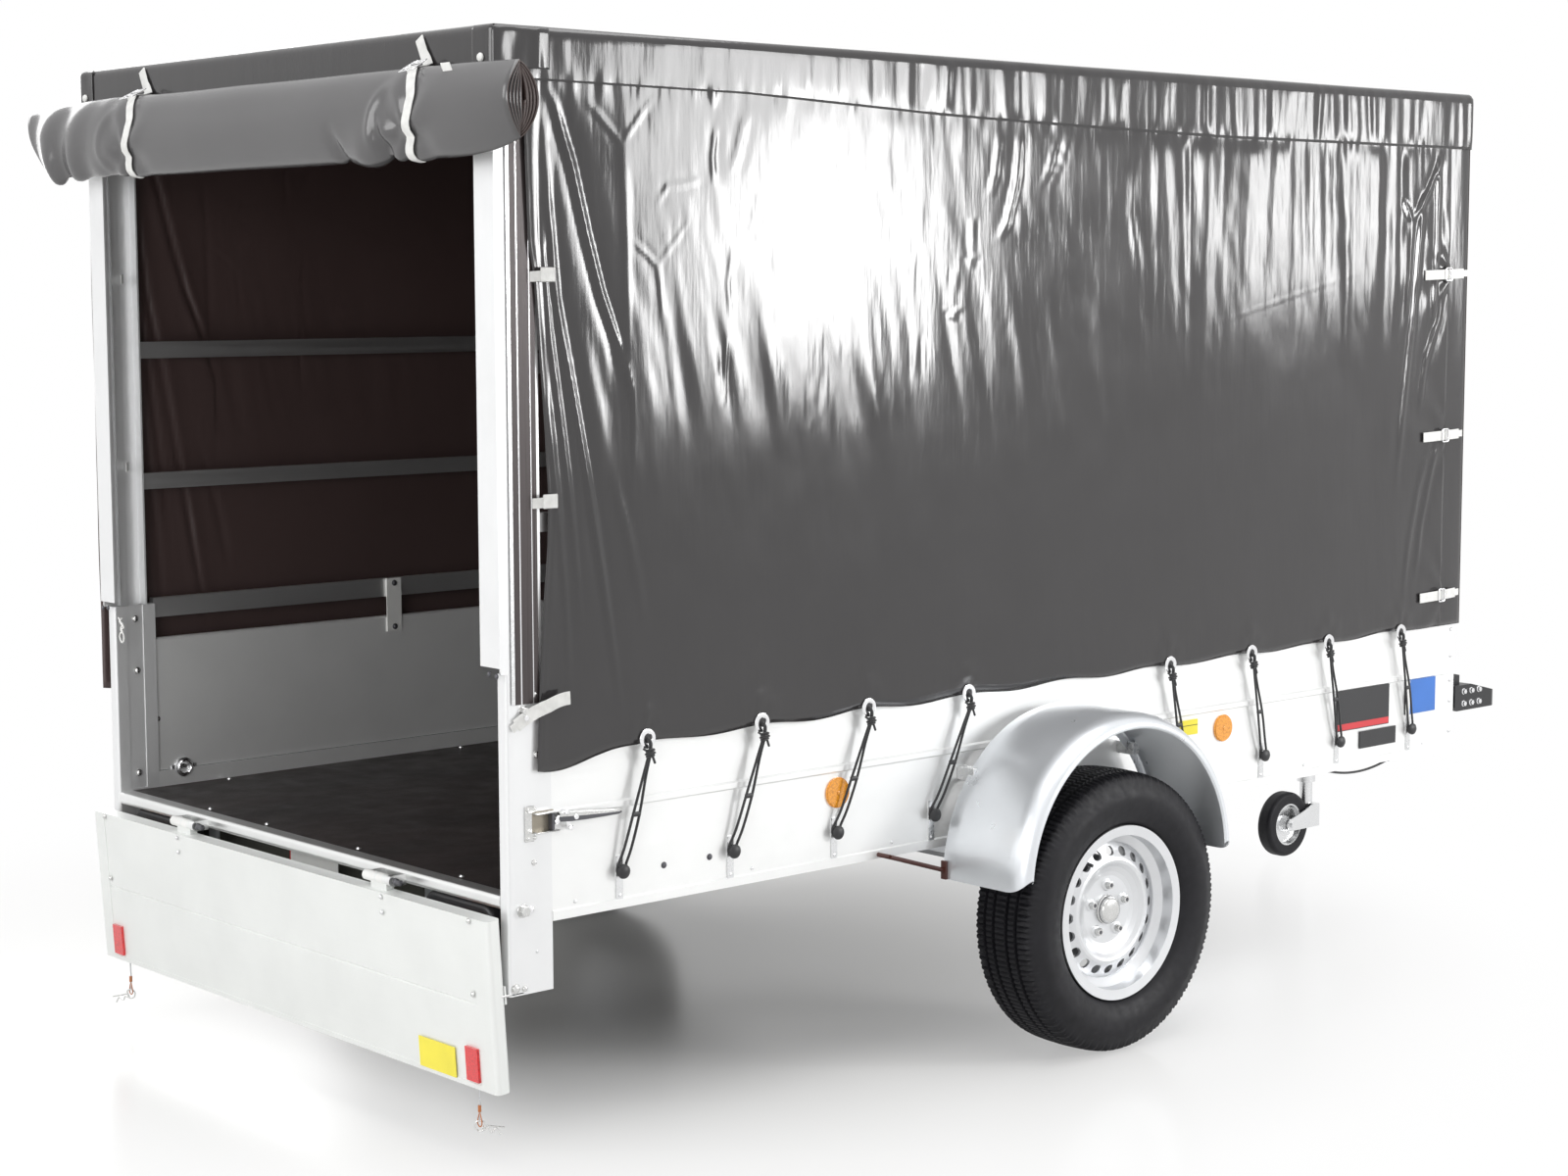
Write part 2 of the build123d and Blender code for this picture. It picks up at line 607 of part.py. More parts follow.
def side_latch():
    """Left over-centre latch on the post's side: base plate, pivot block and tapered lever."""
    x = LATCH_X
    z = RIB_BOTTOM
    plate = block((x, x + LATCH_PLATE), (HALF, HALF + SHEET), (z - LATCH_PLATE, z + LATCH_PLATE * 0.8))
    housing = block(
        (x + LATCH_PLATE / 3, x + LATCH_PLATE * 1.4),
        (HALF, HALF + LATCH_DEPTH),
        (z - LATCH_HEIGHT, z + LATCH_HEIGHT / 2),
    )
    start = x + LATCH_PLATE * 1.3
    end = x + LATCH_PLATE + LATCH_LEVER
    lever = along_z(
        [
            (start, HALF + SHEET + 2),
            (start, HALF + LATCH_DEPTH + 4),
            (end, HALF + LATCH_DEPTH - 2),
            (end, HALF + SHEET + 6),
        ],
        (z - LATCH_HEIGHT, z - 2),
    )
    pivot_x = x + LATCH_PLATE * 1.15
    pivot = rod(
        (pivot_x, HALF + LATCH_DEPTH / 2, z - LATCH_HEIGHT - 4),
        (pivot_x, HALF + LATCH_DEPTH / 2, z + LATCH_HEIGHT / 2 + 4),
        7,
    )
    return plate + housing + lever + pivot


# ---- cover frame ----------------------------------------------------------------------------------
def rear_stake():
    """Left rear stake: a wide angle whose flange laps behind the post, with an inner lip."""
    outer = HALF
    back = -STAKE_BACK
    front = STAKE_WEB - STAKE_BACK
    flange = along_z(
        [
            (back, outer - STAKE_FLANGE),
            (back, outer + SHEET - 1),
            (back + SHEET, outer + SHEET - 1),
            (back + SHEET, outer - STAKE_FLANGE),
        ],
        (STAKE_FOOT, FRAME_TOP - ROOF_TUBE),
    )
    web = along_z(
        [
            (back + SHEET, outer),
            (back + SHEET, outer - SHEET),
            (front - SHEET, outer - SHEET),
            (front - SHEET, outer - POST_THICKNESS),
            (front, outer - POST_THICKNESS),
            (front, outer),
        ],
        (POST_TOP, FRAME_TOP - ROOF_TUBE),
    )
    rib_x = (back + front) / 2
    rib = along_z(
        [
            (rib_x - 8, outer - SHEET),
            (rib_x - 8, outer - SHEET * 3),
            (rib_x + 8, outer - SHEET * 3),
            (rib_x + 8, outer - SHEET),
        ],
        (POST_TOP, FRAME_TOP - ROOF_TUBE),
    )
    return flange + web + rib


def front_stake():
    """Left front stake: an angle standing on the front corner post."""
    size = POST_LENGTH / 2
    outline = [
        (BOX_LENGTH + SHEET, HALF),
        (BOX_LENGTH + SHEET - size, HALF),
        (BOX_LENGTH + SHEET - size, HALF - SHEET),
        (BOX_LENGTH, HALF - SHEET),
        (BOX_LENGTH, HALF - size),
        (BOX_LENGTH + SHEET, HALF - size),
    ]
    return along_z(outline, (WALL_TOP, FRAME_TOP - ROOF_TUBE))


def side_slats():
    """Three slats inside the left cover panel, from the rear stake to the front stake."""
    outer = HALF - SHEET
    front = BOX_LENGTH + SHEET - POST_LENGTH / 2 + 12
    slats = []
    for z, height in SLAT_HEIGHTS.values():
        start = POST_LENGTH if z < POST_TOP else STAKE_WEB - STAKE_BACK
        slats.append(block((start, front), (outer - SLAT_THICKNESS, outer), (z, z + height)))
    return slats


def front_slats():
    """Three slats across the front, behind the front stakes' flanges."""
    y = HALF - SHEET - SLAT_THICKNESS
    return [
        block((BOX_LENGTH - SLAT_THICKNESS, BOX_LENGTH), (-y, y), (z, z + height))
        for z, height in SLAT_HEIGHTS.values()
    ]


def slat_brackets():
    """Plates that tie the lowest side slat to the wall, inside both sides."""
    z, height = SLAT_HEIGHTS["lower"]
    inside = HALF - WALL
    pieces = []
    for share in (0.25, 0.75):
        x = (BOX_LENGTH * share - BRACKET_WIDTH / 2, BOX_LENGTH * share + BRACKET_WIDTH / 2)
        for side in (-1, 1):
            y = (side * inside, side * (inside - SHEET))
            plate = block(x, y, (WALL_TOP - 38, z + height))
            packer = block(x, (side * inside, side * (HALF - SHEET - SLAT_THICKNESS)), (z, z + height))
            pieces.append(plate + packer if HALF - SHEET - SLAT_THICKNESS > inside else plate)
    return pieces


def roof_rails():
    """Roof tubes along both sides, on top of the stakes."""
    low = FRAME_TOP - ROOF_TUBE
    x = (-STAKE_BACK, BOX_LENGTH + SHEET)
    return [block(x, (side * HALF, side * (HALF - ROOF_TUBE)), (low, FRAME_TOP)) for side in (-1, 1)]


def roof_bows():
    """Equally spaced tubes across the roof, between the side tubes."""
    low = FRAME_TOP - ROOF_TUBE
    half = HALF - ROOF_TUBE
    first = -STAKE_BACK
    pitch = (BOX_LENGTH + SHEET + STAKE_BACK - ROOF_TUBE) / (ROOF_BOW_COUNT - 1)
    return [
        block(
            (first + index * pitch, first + index * pitch + ROOF_TUBE), (-half, half), (low, FRAME_TOP)
        )
        for index in range(ROOF_BOW_COUNT)
    ]


# ---- cover ----------------------------------------------------------------------------------------
def cover():
    """Tarpaulin: roof, sides, front and a sewn skirt, open at the rear and underneath."""
    rear = -VALANCE_BACK
    hull = block((rear, COVER_FRONT), (-COVER_HALF, COVER_HALF), (COVER_HEM, COVER_TOP))
    hollow = block(
        (rear + COVER_SHEET, COVER_FRONT - COVER_SHEET),
        (-COVER_HALF + COVER_SHEET, COVER_HALF - COVER_SHEET),
        (COVER_HEM - 1, COVER_TOP - COVER_SHEET),
    )
    doorway = block(
        (rear - 1, rear + COVER_SHEET + 1),
        (-COVER_HALF - 1, COVER_HALF + 1),
        (COVER_HEM - 1, COVER_TOP - VALANCE_HEIGHT),
    )
    side_edges = block(
        (rear - 1, COVER_SIDE_START),
        (-COVER_HALF - 1, COVER_HALF + 1),
        (COVER_HEM - 1, COVER_TOP - SKIRT_HEIGHT),
    )
    return hull - hollow - doorway - side_edges


def flap_roll():
    """Rear flap rolled up under the roof's edge: a leaning flat roll with tapered ends."""
    half = ROLL_LENGTH / 2
    plane = Plane(origin=(ROLL_X, 0, ROLL_Z), x_dir=(1, 0, 0), z_dir=(0, 1, 0))
    sections = [
        (-half, 0.62),
        (-half + ROLL_END, 1.0),
        (half - ROLL_END, 1.0),
        (half, 0.62),
    ]
    faces = [
        plane.offset(y) * Rot(0, 0, ROLL_LEAN) * Ellipse(ROLL_DEPTH / 2 * share, ROLL_HEIGHT / 2 * share)
        for y, share in sections
    ]
    return loft(faces, ruled=True)


def roll_straps():
    """Two straps that hold the rolled flap, each a band round it from the roof's edge."""
    bands = []
    plane = Plane(origin=(ROLL_X, 0, ROLL_Z), x_dir=(1, 0, 0), z_dir=(0, 1, 0))
    grow = STRAP_THICKNESS
    for side in (-1, 1):
        middle = side * ROLL_STRAP_OFFSET + ROLL_STRAP_SHIFT
        outer = Ellipse(ROLL_DEPTH / 2 + grow, ROLL_HEIGHT / 2 + grow)
        inner = Ellipse(ROLL_DEPTH / 2 + 0.2, ROLL_HEIGHT / 2 + 0.2)
        ring = plane.offset(middle - STRAP_WIDTH / 2) * Rot(0, 0, ROLL_LEAN) * (outer - inner)
        band = extrude(ring, STRAP_WIDTH)
        tab = block(
            (-VALANCE_BACK - grow, -VALANCE_BACK),
            (middle - STRAP_WIDTH / 2, middle + STRAP_WIDTH / 2),
            (ROLL_Z + ROLL_HEIGHT / 4, COVER_TOP - 8),
        )
        tab -= plane.offset(middle - STRAP_WIDTH) * Rot(0, 0, ROLL_LEAN) * extrude(inner, STRAP_WIDTH * 2)
        bands.append(band + tab)
    return bands


def tie_places():
    """(x at the eyelet, x at the button) of each elastic tie on a side."""
    places = []
    for index in range(TIE_COUNT):
        x = TIE_FIRST + index * TIE_PITCH
        lean = TIE_LEAN * (1 + index * 0.2)
        places.append((x, x - lean))
        places.append((2 * TIE_MIDDLE - x, 2 * TIE_MIDDLE - x + TIE_LEAN))
    return places


def tie(top, foot):
    """One elastic tie: two strands from a knot under the eyelet down to both sides of a button."""
    spread = BUTTON_RADIUS + TIE_RADIUS + TIE_GAP
    along = Vector(spread, 0, 0) if abs(top[1]) > HALF else Vector(0, spread, 0)
    knot = Pos(*top) * Box(KNOT_SIZE, KNOT_SIZE, KNOT_SIZE)
    return knot + strand(top, Vector(*foot) + along) + strand(top, Vector(*foot) - along)


def strand(start, end):
    """Six-sided bar between two points."""
    axis = Vector(end) - Vector(start)
    return extrude(Plane(origin=start, z_dir=axis) * RegularPolygon(TIE_RADIUS, 6), axis.length)


def side_ties():
    """Elastic ties along the left hem."""
    out = COVER_HALF + KNOT_SIZE / 2 + TIE_GAP
    foot_out = HALF + TIE_RADIUS + TIE_GAP
    return [
        tie((x, out, EYELET_HEIGHT - KNOT_DROP), (foot, foot_out, BUTTON_HEIGHT))
        for x, foot in tie_places()
    ]


def front_tie_places():
    """y of each tie across the front."""
    pitch = BOX_WIDTH / FRONT_TIES
    return [-BOX_WIDTH / 2 + (index + 0.5) * pitch for index in range(FRONT_TIES)]


def front_ties():
    """Elastic ties along the front hem."""
    out = COVER_FRONT + KNOT_SIZE / 2 + TIE_GAP
    foot_out = BOX_LENGTH + TIE_RADIUS + TIE_GAP
    return [
        tie((out, y, EYELET_HEIGHT - KNOT_DROP), (foot_out, y, BUTTON_HEIGHT))
        for y in front_tie_places()
    ]


def button(place, out):
    """Headed button that a tie hooks over, standing out of a wall."""
    across = Vector(*place) + Vector(*out) * BUTTON_STANDOFF
    head = Plane(origin=across, z_dir=out) * RegularPolygon(BUTTON_HEAD_RADIUS, 12)
    stem = Plane(origin=place, z_dir=out) * RegularPolygon(BUTTON_RADIUS, 12)
    return extrude(stem, BUTTON_STANDOFF + 1) + extrude(head, BUTTON_HEAD)


def side_buttons():
    """Buttons on the left side rail."""
    return [button((x, HALF, BUTTON_HEIGHT), (0, 1, 0)) for _, x in tie_places()]


def front_buttons():
    """Buttons on the front wall."""
    return [button((BOX_LENGTH, y, BUTTON_HEIGHT), (1, 0, 0)) for y in front_tie_places()]


def side_reflectors():
    """Amber side reflectors on the left wall, behind and ahead of the mudguard."""
    z = RIB_BOTTOM - AMBER_DROP
    return [
        rod((x, HALF, z), (x, HALF + REFLECTOR_DEPTH, z), AMBER_RADIUS)
        for x in (GUARD_X - AMBER_OFFSET, GUARD_X + AMBER_OFFSET)
    ]


# ---- axle and wheels ------------------------------------------------------------------------------
def wheel_centre():
    """Centre of the left wheel."""
    return (AXLE_X, WHEEL_Y, TYRE_RADIUS)


def casing(inset):
    """Half-section of the tyre in (y, radius), its surface drawn in by inset."""
    half = TYRE_WIDTH / 2 - inset
    bead = RIM_WIDTH / 2 - RIM_SHEET - 5 - inset
    wide = (RIM_FLANGE_RADIUS + TYRE_RADIUS) / 2 - 5
    rise = RIM_FLANGE_RADIUS + 1.5 + inset / 2
    shoulder = TYRE_RADIUS - 14 - inset
    crown = TYRE_RADIUS - inset
    with BuildSketch(Plane.YZ) as sketch:
        with BuildLine():
            Line((-bead, BEAD_RADIUS), (-bead, rise))
            left = ThreePointArc((-bead, rise), (-half, wide), (-half + 11, shoulder))
            ThreePointArc(left @ 1, (0, crown), (half - 11, shoulder))
            ThreePointArc((half - 11, shoulder), (half, wide), (bead, rise))
            Line((bead, rise), (bead, BEAD_RADIUS))
            Line((bead, BEAD_RADIUS), (-bead, BEAD_RADIUS))
        make_face()
    return sketch.sketch


def tyre():
    """Left tyre: a hollow casing with rounded shoulders, its beads open on the rim."""
    ring = casing(0) - casing(TYRE_WALL)
    return Pos(*wheel_centre()) * revolve(ring, axis=Axis.Y)


def rim():
    """Left steel rim: drop-centre barrel and pressed disc with a ring of oval vents."""
    edge = RIM_WIDTH / 2
    seat = BEAD_RADIUS - 0.3
    drop = BEAD_RADIUS - 20
    sheet = RIM_SHEET
    barrel = [
        (-edge, RIM_FLANGE_RADIUS),
        (-edge + sheet, RIM_FLANGE_RADIUS),
        (-edge + sheet + 3, seat),
        (-edge + 34, seat - 2),
        (-edge + 46, drop),
        (edge - 46, drop),
        (edge - 32, seat - 2),
        (edge - sheet - 3, seat),
        (edge - sheet, RIM_FLANGE_RADIUS),
        (edge, RIM_FLANGE_RADIUS),
        (edge - 2, seat - sheet),
        (edge - 30, seat - 2 - sheet),
        (edge - 43, drop - sheet),
        (-edge + 43, drop - sheet),
        (-edge + 31, seat - 2 - sheet),
        (-edge + 2, seat - sheet),
    ]
    face = DISC_OFFSET
    disc = [
        (face + 2, drop - sheet + 1),
        (face + 12, VENT_RING_RADIUS),
        (face + 21, VENT_RING_RADIUS - 15),
        (face + 22.5, VENT_RING_RADIUS - 21),
        (face + 21, VENT_RING_RADIUS - 27),
        (face + 14, VENT_RING_RADIUS - 36),
        (face + 8, VENT_RING_RADIUS - 48),
        (face + sheet, VENT_RING_RADIUS - 58),
        (face + sheet, BORE_RADIUS),
        (face, BORE_RADIUS),
        (face, VENT_RING_RADIUS - 56),
        (face + 3, VENT_RING_RADIUS - 45),
        (face + 9, VENT_RING_RADIUS - 33),
        (face + 15, VENT_RING_RADIUS - 25),
        (face + 17, VENT_RING_RADIUS - 21),
        (face + 15.5, VENT_RING_RADIUS - 17),
        (face + 6, VENT_RING_RADIUS - 1),
        (face - 8, drop - sheet + 1),
    ]
    middle = wheel_centre()
    steel = spin_y(barrel, middle) + spin_y(disc, middle)
    vent = extrude(Plane.XZ * SlotOverall(VENT_LENGTH, VENT_WIDTH), 30, both=True)
    for index in range(VENT_COUNT):
        turn = Rot(0, index * 360 / VENT_COUNT, 0)
        steel -= Pos(*middle) * turn * Pos(0, face + 8, VENT_RING_RADIUS) * vent
    return steel


def drum():
    """Left brake drum and hub, with a blind bore for the stub axle and a domed grease cap."""
    face = DISC_OFFSET
    outline = [
        (face - DRUM_DEPTH, STUB_RADIUS + 16),
        (face - DRUM_DEPTH, DRUM_RADIUS),
        (face - 8, DRUM_RADIUS),
        (face, DRUM_RADIUS - 10),
        (face, BORE_RADIUS - 1),
        (face + 10, HUB_CAP_RADIUS),
        (face + 19, HUB_CAP_RADIUS - 3),
        (face + 24, HUB_CAP_RADIUS - 11),
        (face + 25.5, 0),
        (face + 16, 0),
        (face + 16, STUB_RADIUS + STUB_CLEARANCE),
        (face - DRUM_DEPTH - 6, STUB_RADIUS + STUB_CLEARANCE),
        (face - DRUM_DEPTH - 6, STUB_RADIUS + 16),
    ]
    return spin_y(outline, wheel_centre())


def swing_arm():
    """Left trailing arm with its stub axle and brake backplate."""
    x, y, z = wheel_centre()
    inner = WHEEL_Y - ARM_INSET
    beam_x = AXLE_X + ARM_REACH
    beam_z = BEAM_BOTTOM - AXLE_TUBE / 2
    angle = atan2(beam_z - z, ARM_REACH)
    length = hypot(beam_z - z, ARM_REACH)
    plane = Plane(
        origin=((x + beam_x) / 2, inner, (z + beam_z) / 2),
        x_dir=(cos(angle), 0, sin(angle)),
        z_dir=(0, 1, 0),
    )
    arm = extrude(plane * SlotCenterToCenter(length, 72), ARM_THICKNESS)
    tip = y + DISC_OFFSET + 10
    stub = rod((x, inner, z), (x, tip, z), STUB_RADIUS)
    plate_y = y + DISC_OFFSET - DRUM_DEPTH - 16
    backplate = rod((x, plate_y - 5, z), (x, plate_y, z), DRUM_RADIUS)
    return arm + stub + backplate


def axle():
    """Torsion axle: beam with two seats under the drawbar beams, trailing arms and stub axles."""
    x = AXLE_X + ARM_REACH
    half = WHEEL_Y - ARM_INSET
    z = BEAM_BOTTOM - AXLE_TUBE / 2
    beam = block((x - AXLE_TUBE / 2, x + AXLE_TUBE / 2), (-half, half), (z - AXLE_TUBE / 2, BEAM_BOTTOM))
    beam = chamfer(beam.edges().filter_by(Axis.Y), AXLE_TUBE / 5)
    for side in (-1, 1):
        y = (side * (BEAM_SPREAD - 40), side * (BEAM_SPREAD + 40))
        beam += block((x - 70, x + 70), y, (BEAM_BOTTOM - 10, BEAM_BOTTOM))
        beam += on_side(swing_arm(), "left" if side > 0 else "right")
    return beam


def arch_face(outer, inner):
    """Half-round band in the (x, z) plane between two depths below the mudguard's outside."""
    ring = Circle(GUARD_RADIUS - outer) - Circle(GUARD_RADIUS - inner)
    lower = Pos(0, -GUARD_RADIUS) * Rectangle(GUARD_RADIUS * 3, GUARD_RADIUS * 2)
    return Pos(GUARD_X, 0, GUARD_END) * (Plane.XZ * (ring - lower))


def mudguard():
    """Left mudguard: a half-round sheet with turned-down edges, on brackets from the side wall."""
    inner = HALF + RAIL_LIP + GUARD_GAP
    sheet = extrude(arch_face(0, GUARD_SHEET), GUARD_WIDTH, dir=(0, 1, 0))
    lip = extrude(arch_face(0, GUARD_LIP), GUARD_SHEET, dir=(0, 1, 0))
    guard = Pos(0, inner, 0) * (sheet + lip + Pos(0, GUARD_WIDTH - GUARD_SHEET, 0) * lip)
    half = GUARD_BRACKET / 2
    middle = GUARD_RADIUS - GUARD_LIP / 2
    z = GUARD_END + (middle**2 - GUARD_BRACKET_REACH**2) ** 0.5
    for way in (-1, 1):
        x = GUARD_X + way * GUARD_BRACKET_REACH
        guard += block((x - half, x + half), (HALF, inner + GUARD_SHEET), (z - half, z + half))
    return guard


def guard_stays():
    """Left mudguard's stays: a rod from the side rail to each lower end, bolted at both."""
    z = RAIL_BOTTOM + RAIL_LIP_HEIGHT / 2
    y = HALF + RAIL_LIP + GUARD_GAP + GUARD_SHEET + STAY_RADIUS
    stays = []
    for way in (-1, 1):
        end = GUARD_X + way * GUARD_RADIUS
        foot = (end + way * STAY_RADIUS, y, GUARD_END + STAY_FOOT)
        root = (end + way * STAY_REACH, y, z)
        stay = rod(root, foot, STAY_RADIUS)
        stay += rod((root[0], HALF + RAIL_LIP, z), (root[0], y, z), STAY_RADIUS)
        pad = (GUARD_END, GUARD_END + 2 * STAY_FOOT)
        stay += block((end, foot[0] + way), (y - STAY_RADIUS, y + 2 * STAY_RADIUS), pad)
        stays.append(stay)
    return stays


# ---- drawbar, coupling and jockey wheel -----------------------------------------------------------
def beam_middle(x):
    """Distance of a drawbar beam's middle line from the trailer's middle, ahead of the bend."""
    return BEAM_NOSE_Y + (BEAM_NOSE_X - x) * BEAM_SLOPE


def drawbar_beam():
    """Left drawbar beam: straight under the box, then bent in towards the nose."""
    half = BEAM_WIDTH / 2
    mitre = (BEAM_HALF - half) / BEAM_SLOPE
    outline = [
        (BEAM_REAR_X, BEAM_SPREAD - half),
        (BEAM_REAR_X, BEAM_SPREAD + half),
        (BEAM_BEND_X + mitre, BEAM_SPREAD + half),
        (BEAM_NOSE_X, BEAM_NOSE_Y + BEAM_HALF),
        (BEAM_NOSE_X, BEAM_NOSE_Y - BEAM_HALF),
        (BEAM_BEND_X - mitre, BEAM_SPREAD - half),
    ]
    beam = along_z(outline, (BEAM_BOTTOM, BEAM_TOP))
    return chamfer(beam.edges().filter_by(Plane.XY), BEAM_WIDTH / 12)


def bellows(start, end):
    """Rubber bellows over the draw tube, as a zigzag profile turned about the tube."""
    low = OVERRUN_TUBE_RADIUS + 2
    high = low + BELLOWS_DEPTH
    fold = (end - start) / BELLOWS_FOLDS
    outline = [(start, OVERRUN_TUBE_RADIUS - 1), (start, low)]
    for index in range(BELLOWS_FOLDS):
        outline.append((start + (index + 0.5) * fold, high))
        outline.append((start + (index + 1) * fold, low))
    outline.append((end, OVERRUN_TUBE_RADIUS - 1))
    face = Plane.XY * Polygon(*outline, align=None)
    return Pos(0, 0, COUPLING_Z) * revolve(face, axis=Axis.X)


def overrun_unit():
    """Overrun housing between the beams' noses, with its plate, draw tube and bellows."""
    rear = BEAM_NOSE_X - OVERRUN_HOUSING
    head = COUPLING_NOSE - COUPLING_LENGTH
    inner = BEAM_NOSE_Y - BEAM_HALF - 0.5
    low = COUPLING_Z - COUPLING_HEIGHT / 2
    housing = block((rear, BEAM_NOSE_X), (-inner, inner), (low, BEAM_TOP - NOSE_PLATE))
    housing = fillet(housing.edges().filter_by(Axis.X), inner / 3)
    plate = block(
        (BEAM_NOSE_X, BEAM_NOSE_X + NOSE_PLATE),
        (-BEAM_NOSE_Y - BEAM_HALF, BEAM_NOSE_Y + BEAM_HALF),
        (low, BEAM_TOP),
    )
    tube = rod((BEAM_NOSE_X, 0, COUPLING_Z), (head, 0, COUPLING_Z), OVERRUN_TUBE_RADIUS)
    return housing + plate + tube + bellows(BEAM_NOSE_X + NOSE_PLATE, head - 1)


def coupling_head():
    """Pressed ball coupling with a tapered nose, a socket underneath and a handle on top."""
    tail = COUPLING_NOSE - COUPLING_LENGTH
    low = COUPLING_Z - COUPLING_HEIGHT / 2
    high = COUPLING_Z + COUPLING_HEIGHT / 2
    nose_high = high - COUPLING_HEIGHT * COUPLING_SLOPE
    corner = COUPLING_HEIGHT * 0.14
    side = [
        (tail, low + corner),
        (tail + corner, low),
        (COUPLING_NOSE - corner, low),
        (COUPLING_NOSE, low + corner),
        (COUPLING_NOSE, nose_high),
        (tail + COUPLING_LENGTH * 0.38, high),
        (tail, high),
    ]
    half = COUPLING_WIDTH / 2
    body = along_y(side, (-half, half))
    plan = block((tail, COUPLING_NOSE), (-half, half), (low, high))
    body &= fillet(plan.edges().filter_by(Axis.Z).group_by(Axis.X)[-1], half * 0.76)
    ball_x = COUPLING_NOSE - BALL_BACK
    body -= rod((ball_x, 0, low - 1), (ball_x, 0, low + SOCKET_DEPTH), BALL_RADIUS)
    body -= Pos(ball_x, 0, low + SOCKET_DEPTH) * Sphere(BALL_RADIUS)
    stem = COUPLING_LENGTH * 0.2
    handle = along_y(
        [
            (tail + stem * 0.5, high - 1),
            (tail + stem * 1.4, high - 1),
            (tail + stem * 1.4, high + stem * 0.6),
            (tail - stem * 0.7, high + stem),
            (tail - stem * 0.8, high + stem * 0.8),
            (tail + stem * 0.8, high + stem * 0.35),
        ],
        (-HANDLE_WIDTH / 2, HANDLE_WIDTH / 2),
    )
    return body + handle


def brake_lever():
    """Parking brake lever, released along the right of the overrun housing."""
    pivot = (BEAM_NOSE_X - 40, BEAM_TOP + 20)
    face = -(beam_middle(pivot[0] - CLAMP_LENGTH / 2) + BEAM_HALF)
    plate = block(
        (pivot[0] - CLAMP_LENGTH / 2, pivot[0] + CLAMP_LENGTH / 2),
        (face - 6, face),
        (BEAM_BOTTOM, pivot[1] + 20),
    )
    y = face - 6
    tip = (pivot[0] - BRAKE_LEVER_LENGTH, y - 8, pivot[1] + BRAKE_LEVER_RISE)
    share = 1 - BRAKE_GRIP_LENGTH / BRAKE_LEVER_LENGTH
    grip = (
        pivot[0] - BRAKE_LEVER_LENGTH * share,
        y - 8,
        pivot[1] + BRAKE_LEVER_RISE * share,
    )
    boss = rod((pivot[0], y, pivot[1]), (pivot[0], y - 16, pivot[1]), 16)
    arm = rod((pivot[0], y - 8, pivot[1]), tip, 7)
    return plate + boss + arm + rod(grip, tip, 13)


def jockey_clamp():
    """Clamp that holds the jockey's outer tube to the left drawbar beam, with its tommy screw."""
    half = CLAMP_LENGTH / 2
    z = (BEAM_BOTTOM + 6, BEAM_TOP - 6)
    middle = (z[0] + z[1]) / 2
    ring = rod((JOCKEY_X, JOCKEY_Y, z[0]), (JOCKEY_X, JOCKEY_Y, z[1]), JOCKEY_OUTER_RADIUS + 6)
    ear = along_z(
        [
            (JOCKEY_X - half, JOCKEY_Y),
            (JOCKEY_X + half, JOCKEY_Y),
            (JOCKEY_X + half, beam_middle(JOCKEY_X + half) - BEAM_HALF - 0.5),
            (JOCKEY_X - half, beam_middle(JOCKEY_X - half) - BEAM_HALF - 0.5),
        ],
        z,
    )
    screw = rod((JOCKEY_X, JOCKEY_Y, middle), (JOCKEY_X, JOCKEY_Y - CLAMP_SCREW, middle), 6)
    end = JOCKEY_Y - CLAMP_SCREW + 8
    bar = rod((JOCKEY_X - half, end, middle), (JOCKEY_X + half, end, middle), 4)
    bore = rod(
        (JOCKEY_X, JOCKEY_Y, z[0] - 1),
        (JOCKEY_X, JOCKEY_Y, z[1] + 1),
        JOCKEY_OUTER_RADIUS + JOCKEY_SLIDE_GAP,
    )
    return ring + ear + screw + bar - bore


def jockey_tube():
    """Outer tube with its foot collar, cap and crank."""
    top = JOCKEY_TUBE_TOP
    outer = rod((JOCKEY_X, JOCKEY_Y, JOCKEY_TUBE_BOTTOM), (JOCKEY_X, JOCKEY_Y, top), JOCKEY_OUTER_RADIUS)
    bore = rod(
        (JOCKEY_X, JOCKEY_Y, JOCKEY_TUBE_BOTTOM - 1),
        (JOCKEY_X, JOCKEY_Y, top - JOCKEY_COLLAR_HEIGHT),
        JOCKEY_INNER_RADIUS + JOCKEY_SLIDE_GAP,
    )
    collar = rod(
        (JOCKEY_X, JOCKEY_Y, JOCKEY_TUBE_BOTTOM),
        (JOCKEY_X, JOCKEY_Y, JOCKEY_TUBE_BOTTOM + JOCKEY_COLLAR_HEIGHT),
        JOCKEY_OUTER_RADIUS + JOCKEY_TUBE_WALL,
    )
    neck = rod((JOCKEY_X, JOCKEY_Y, top), (JOCKEY_X, JOCKEY_Y, top + 14), JOCKEY_OUTER_RADIUS / 2)
    arm = block(
        (JOCKEY_X - 9, JOCKEY_X + CRANK_REACH + 9), (JOCKEY_Y - 9, JOCKEY_Y + 9), (top + 12, top + 18)
    )
    arm = fillet(arm.edges().filter_by(Axis.Z), 8)
    grip = rod(
        (JOCKEY_X + CRANK_REACH, JOCKEY_Y, top + 14),
        (JOCKEY_X + CRANK_REACH, JOCKEY_Y, top + 14 + CRANK_GRIP),
        11,
    )
    return outer + collar - bore + neck + arm + grip


def fork_top():
    """Height of the fork bridge's upper face, where the leg clears the wheel."""
    reach = JOCKEY_WHEEL_RADIUS + FORK_CLEARANCE
    across = JOCKEY_TRAIL - JOCKEY_INNER_RADIUS
    return JOCKEY_WHEEL_RADIUS + (reach**2 - across**2) ** 0.5


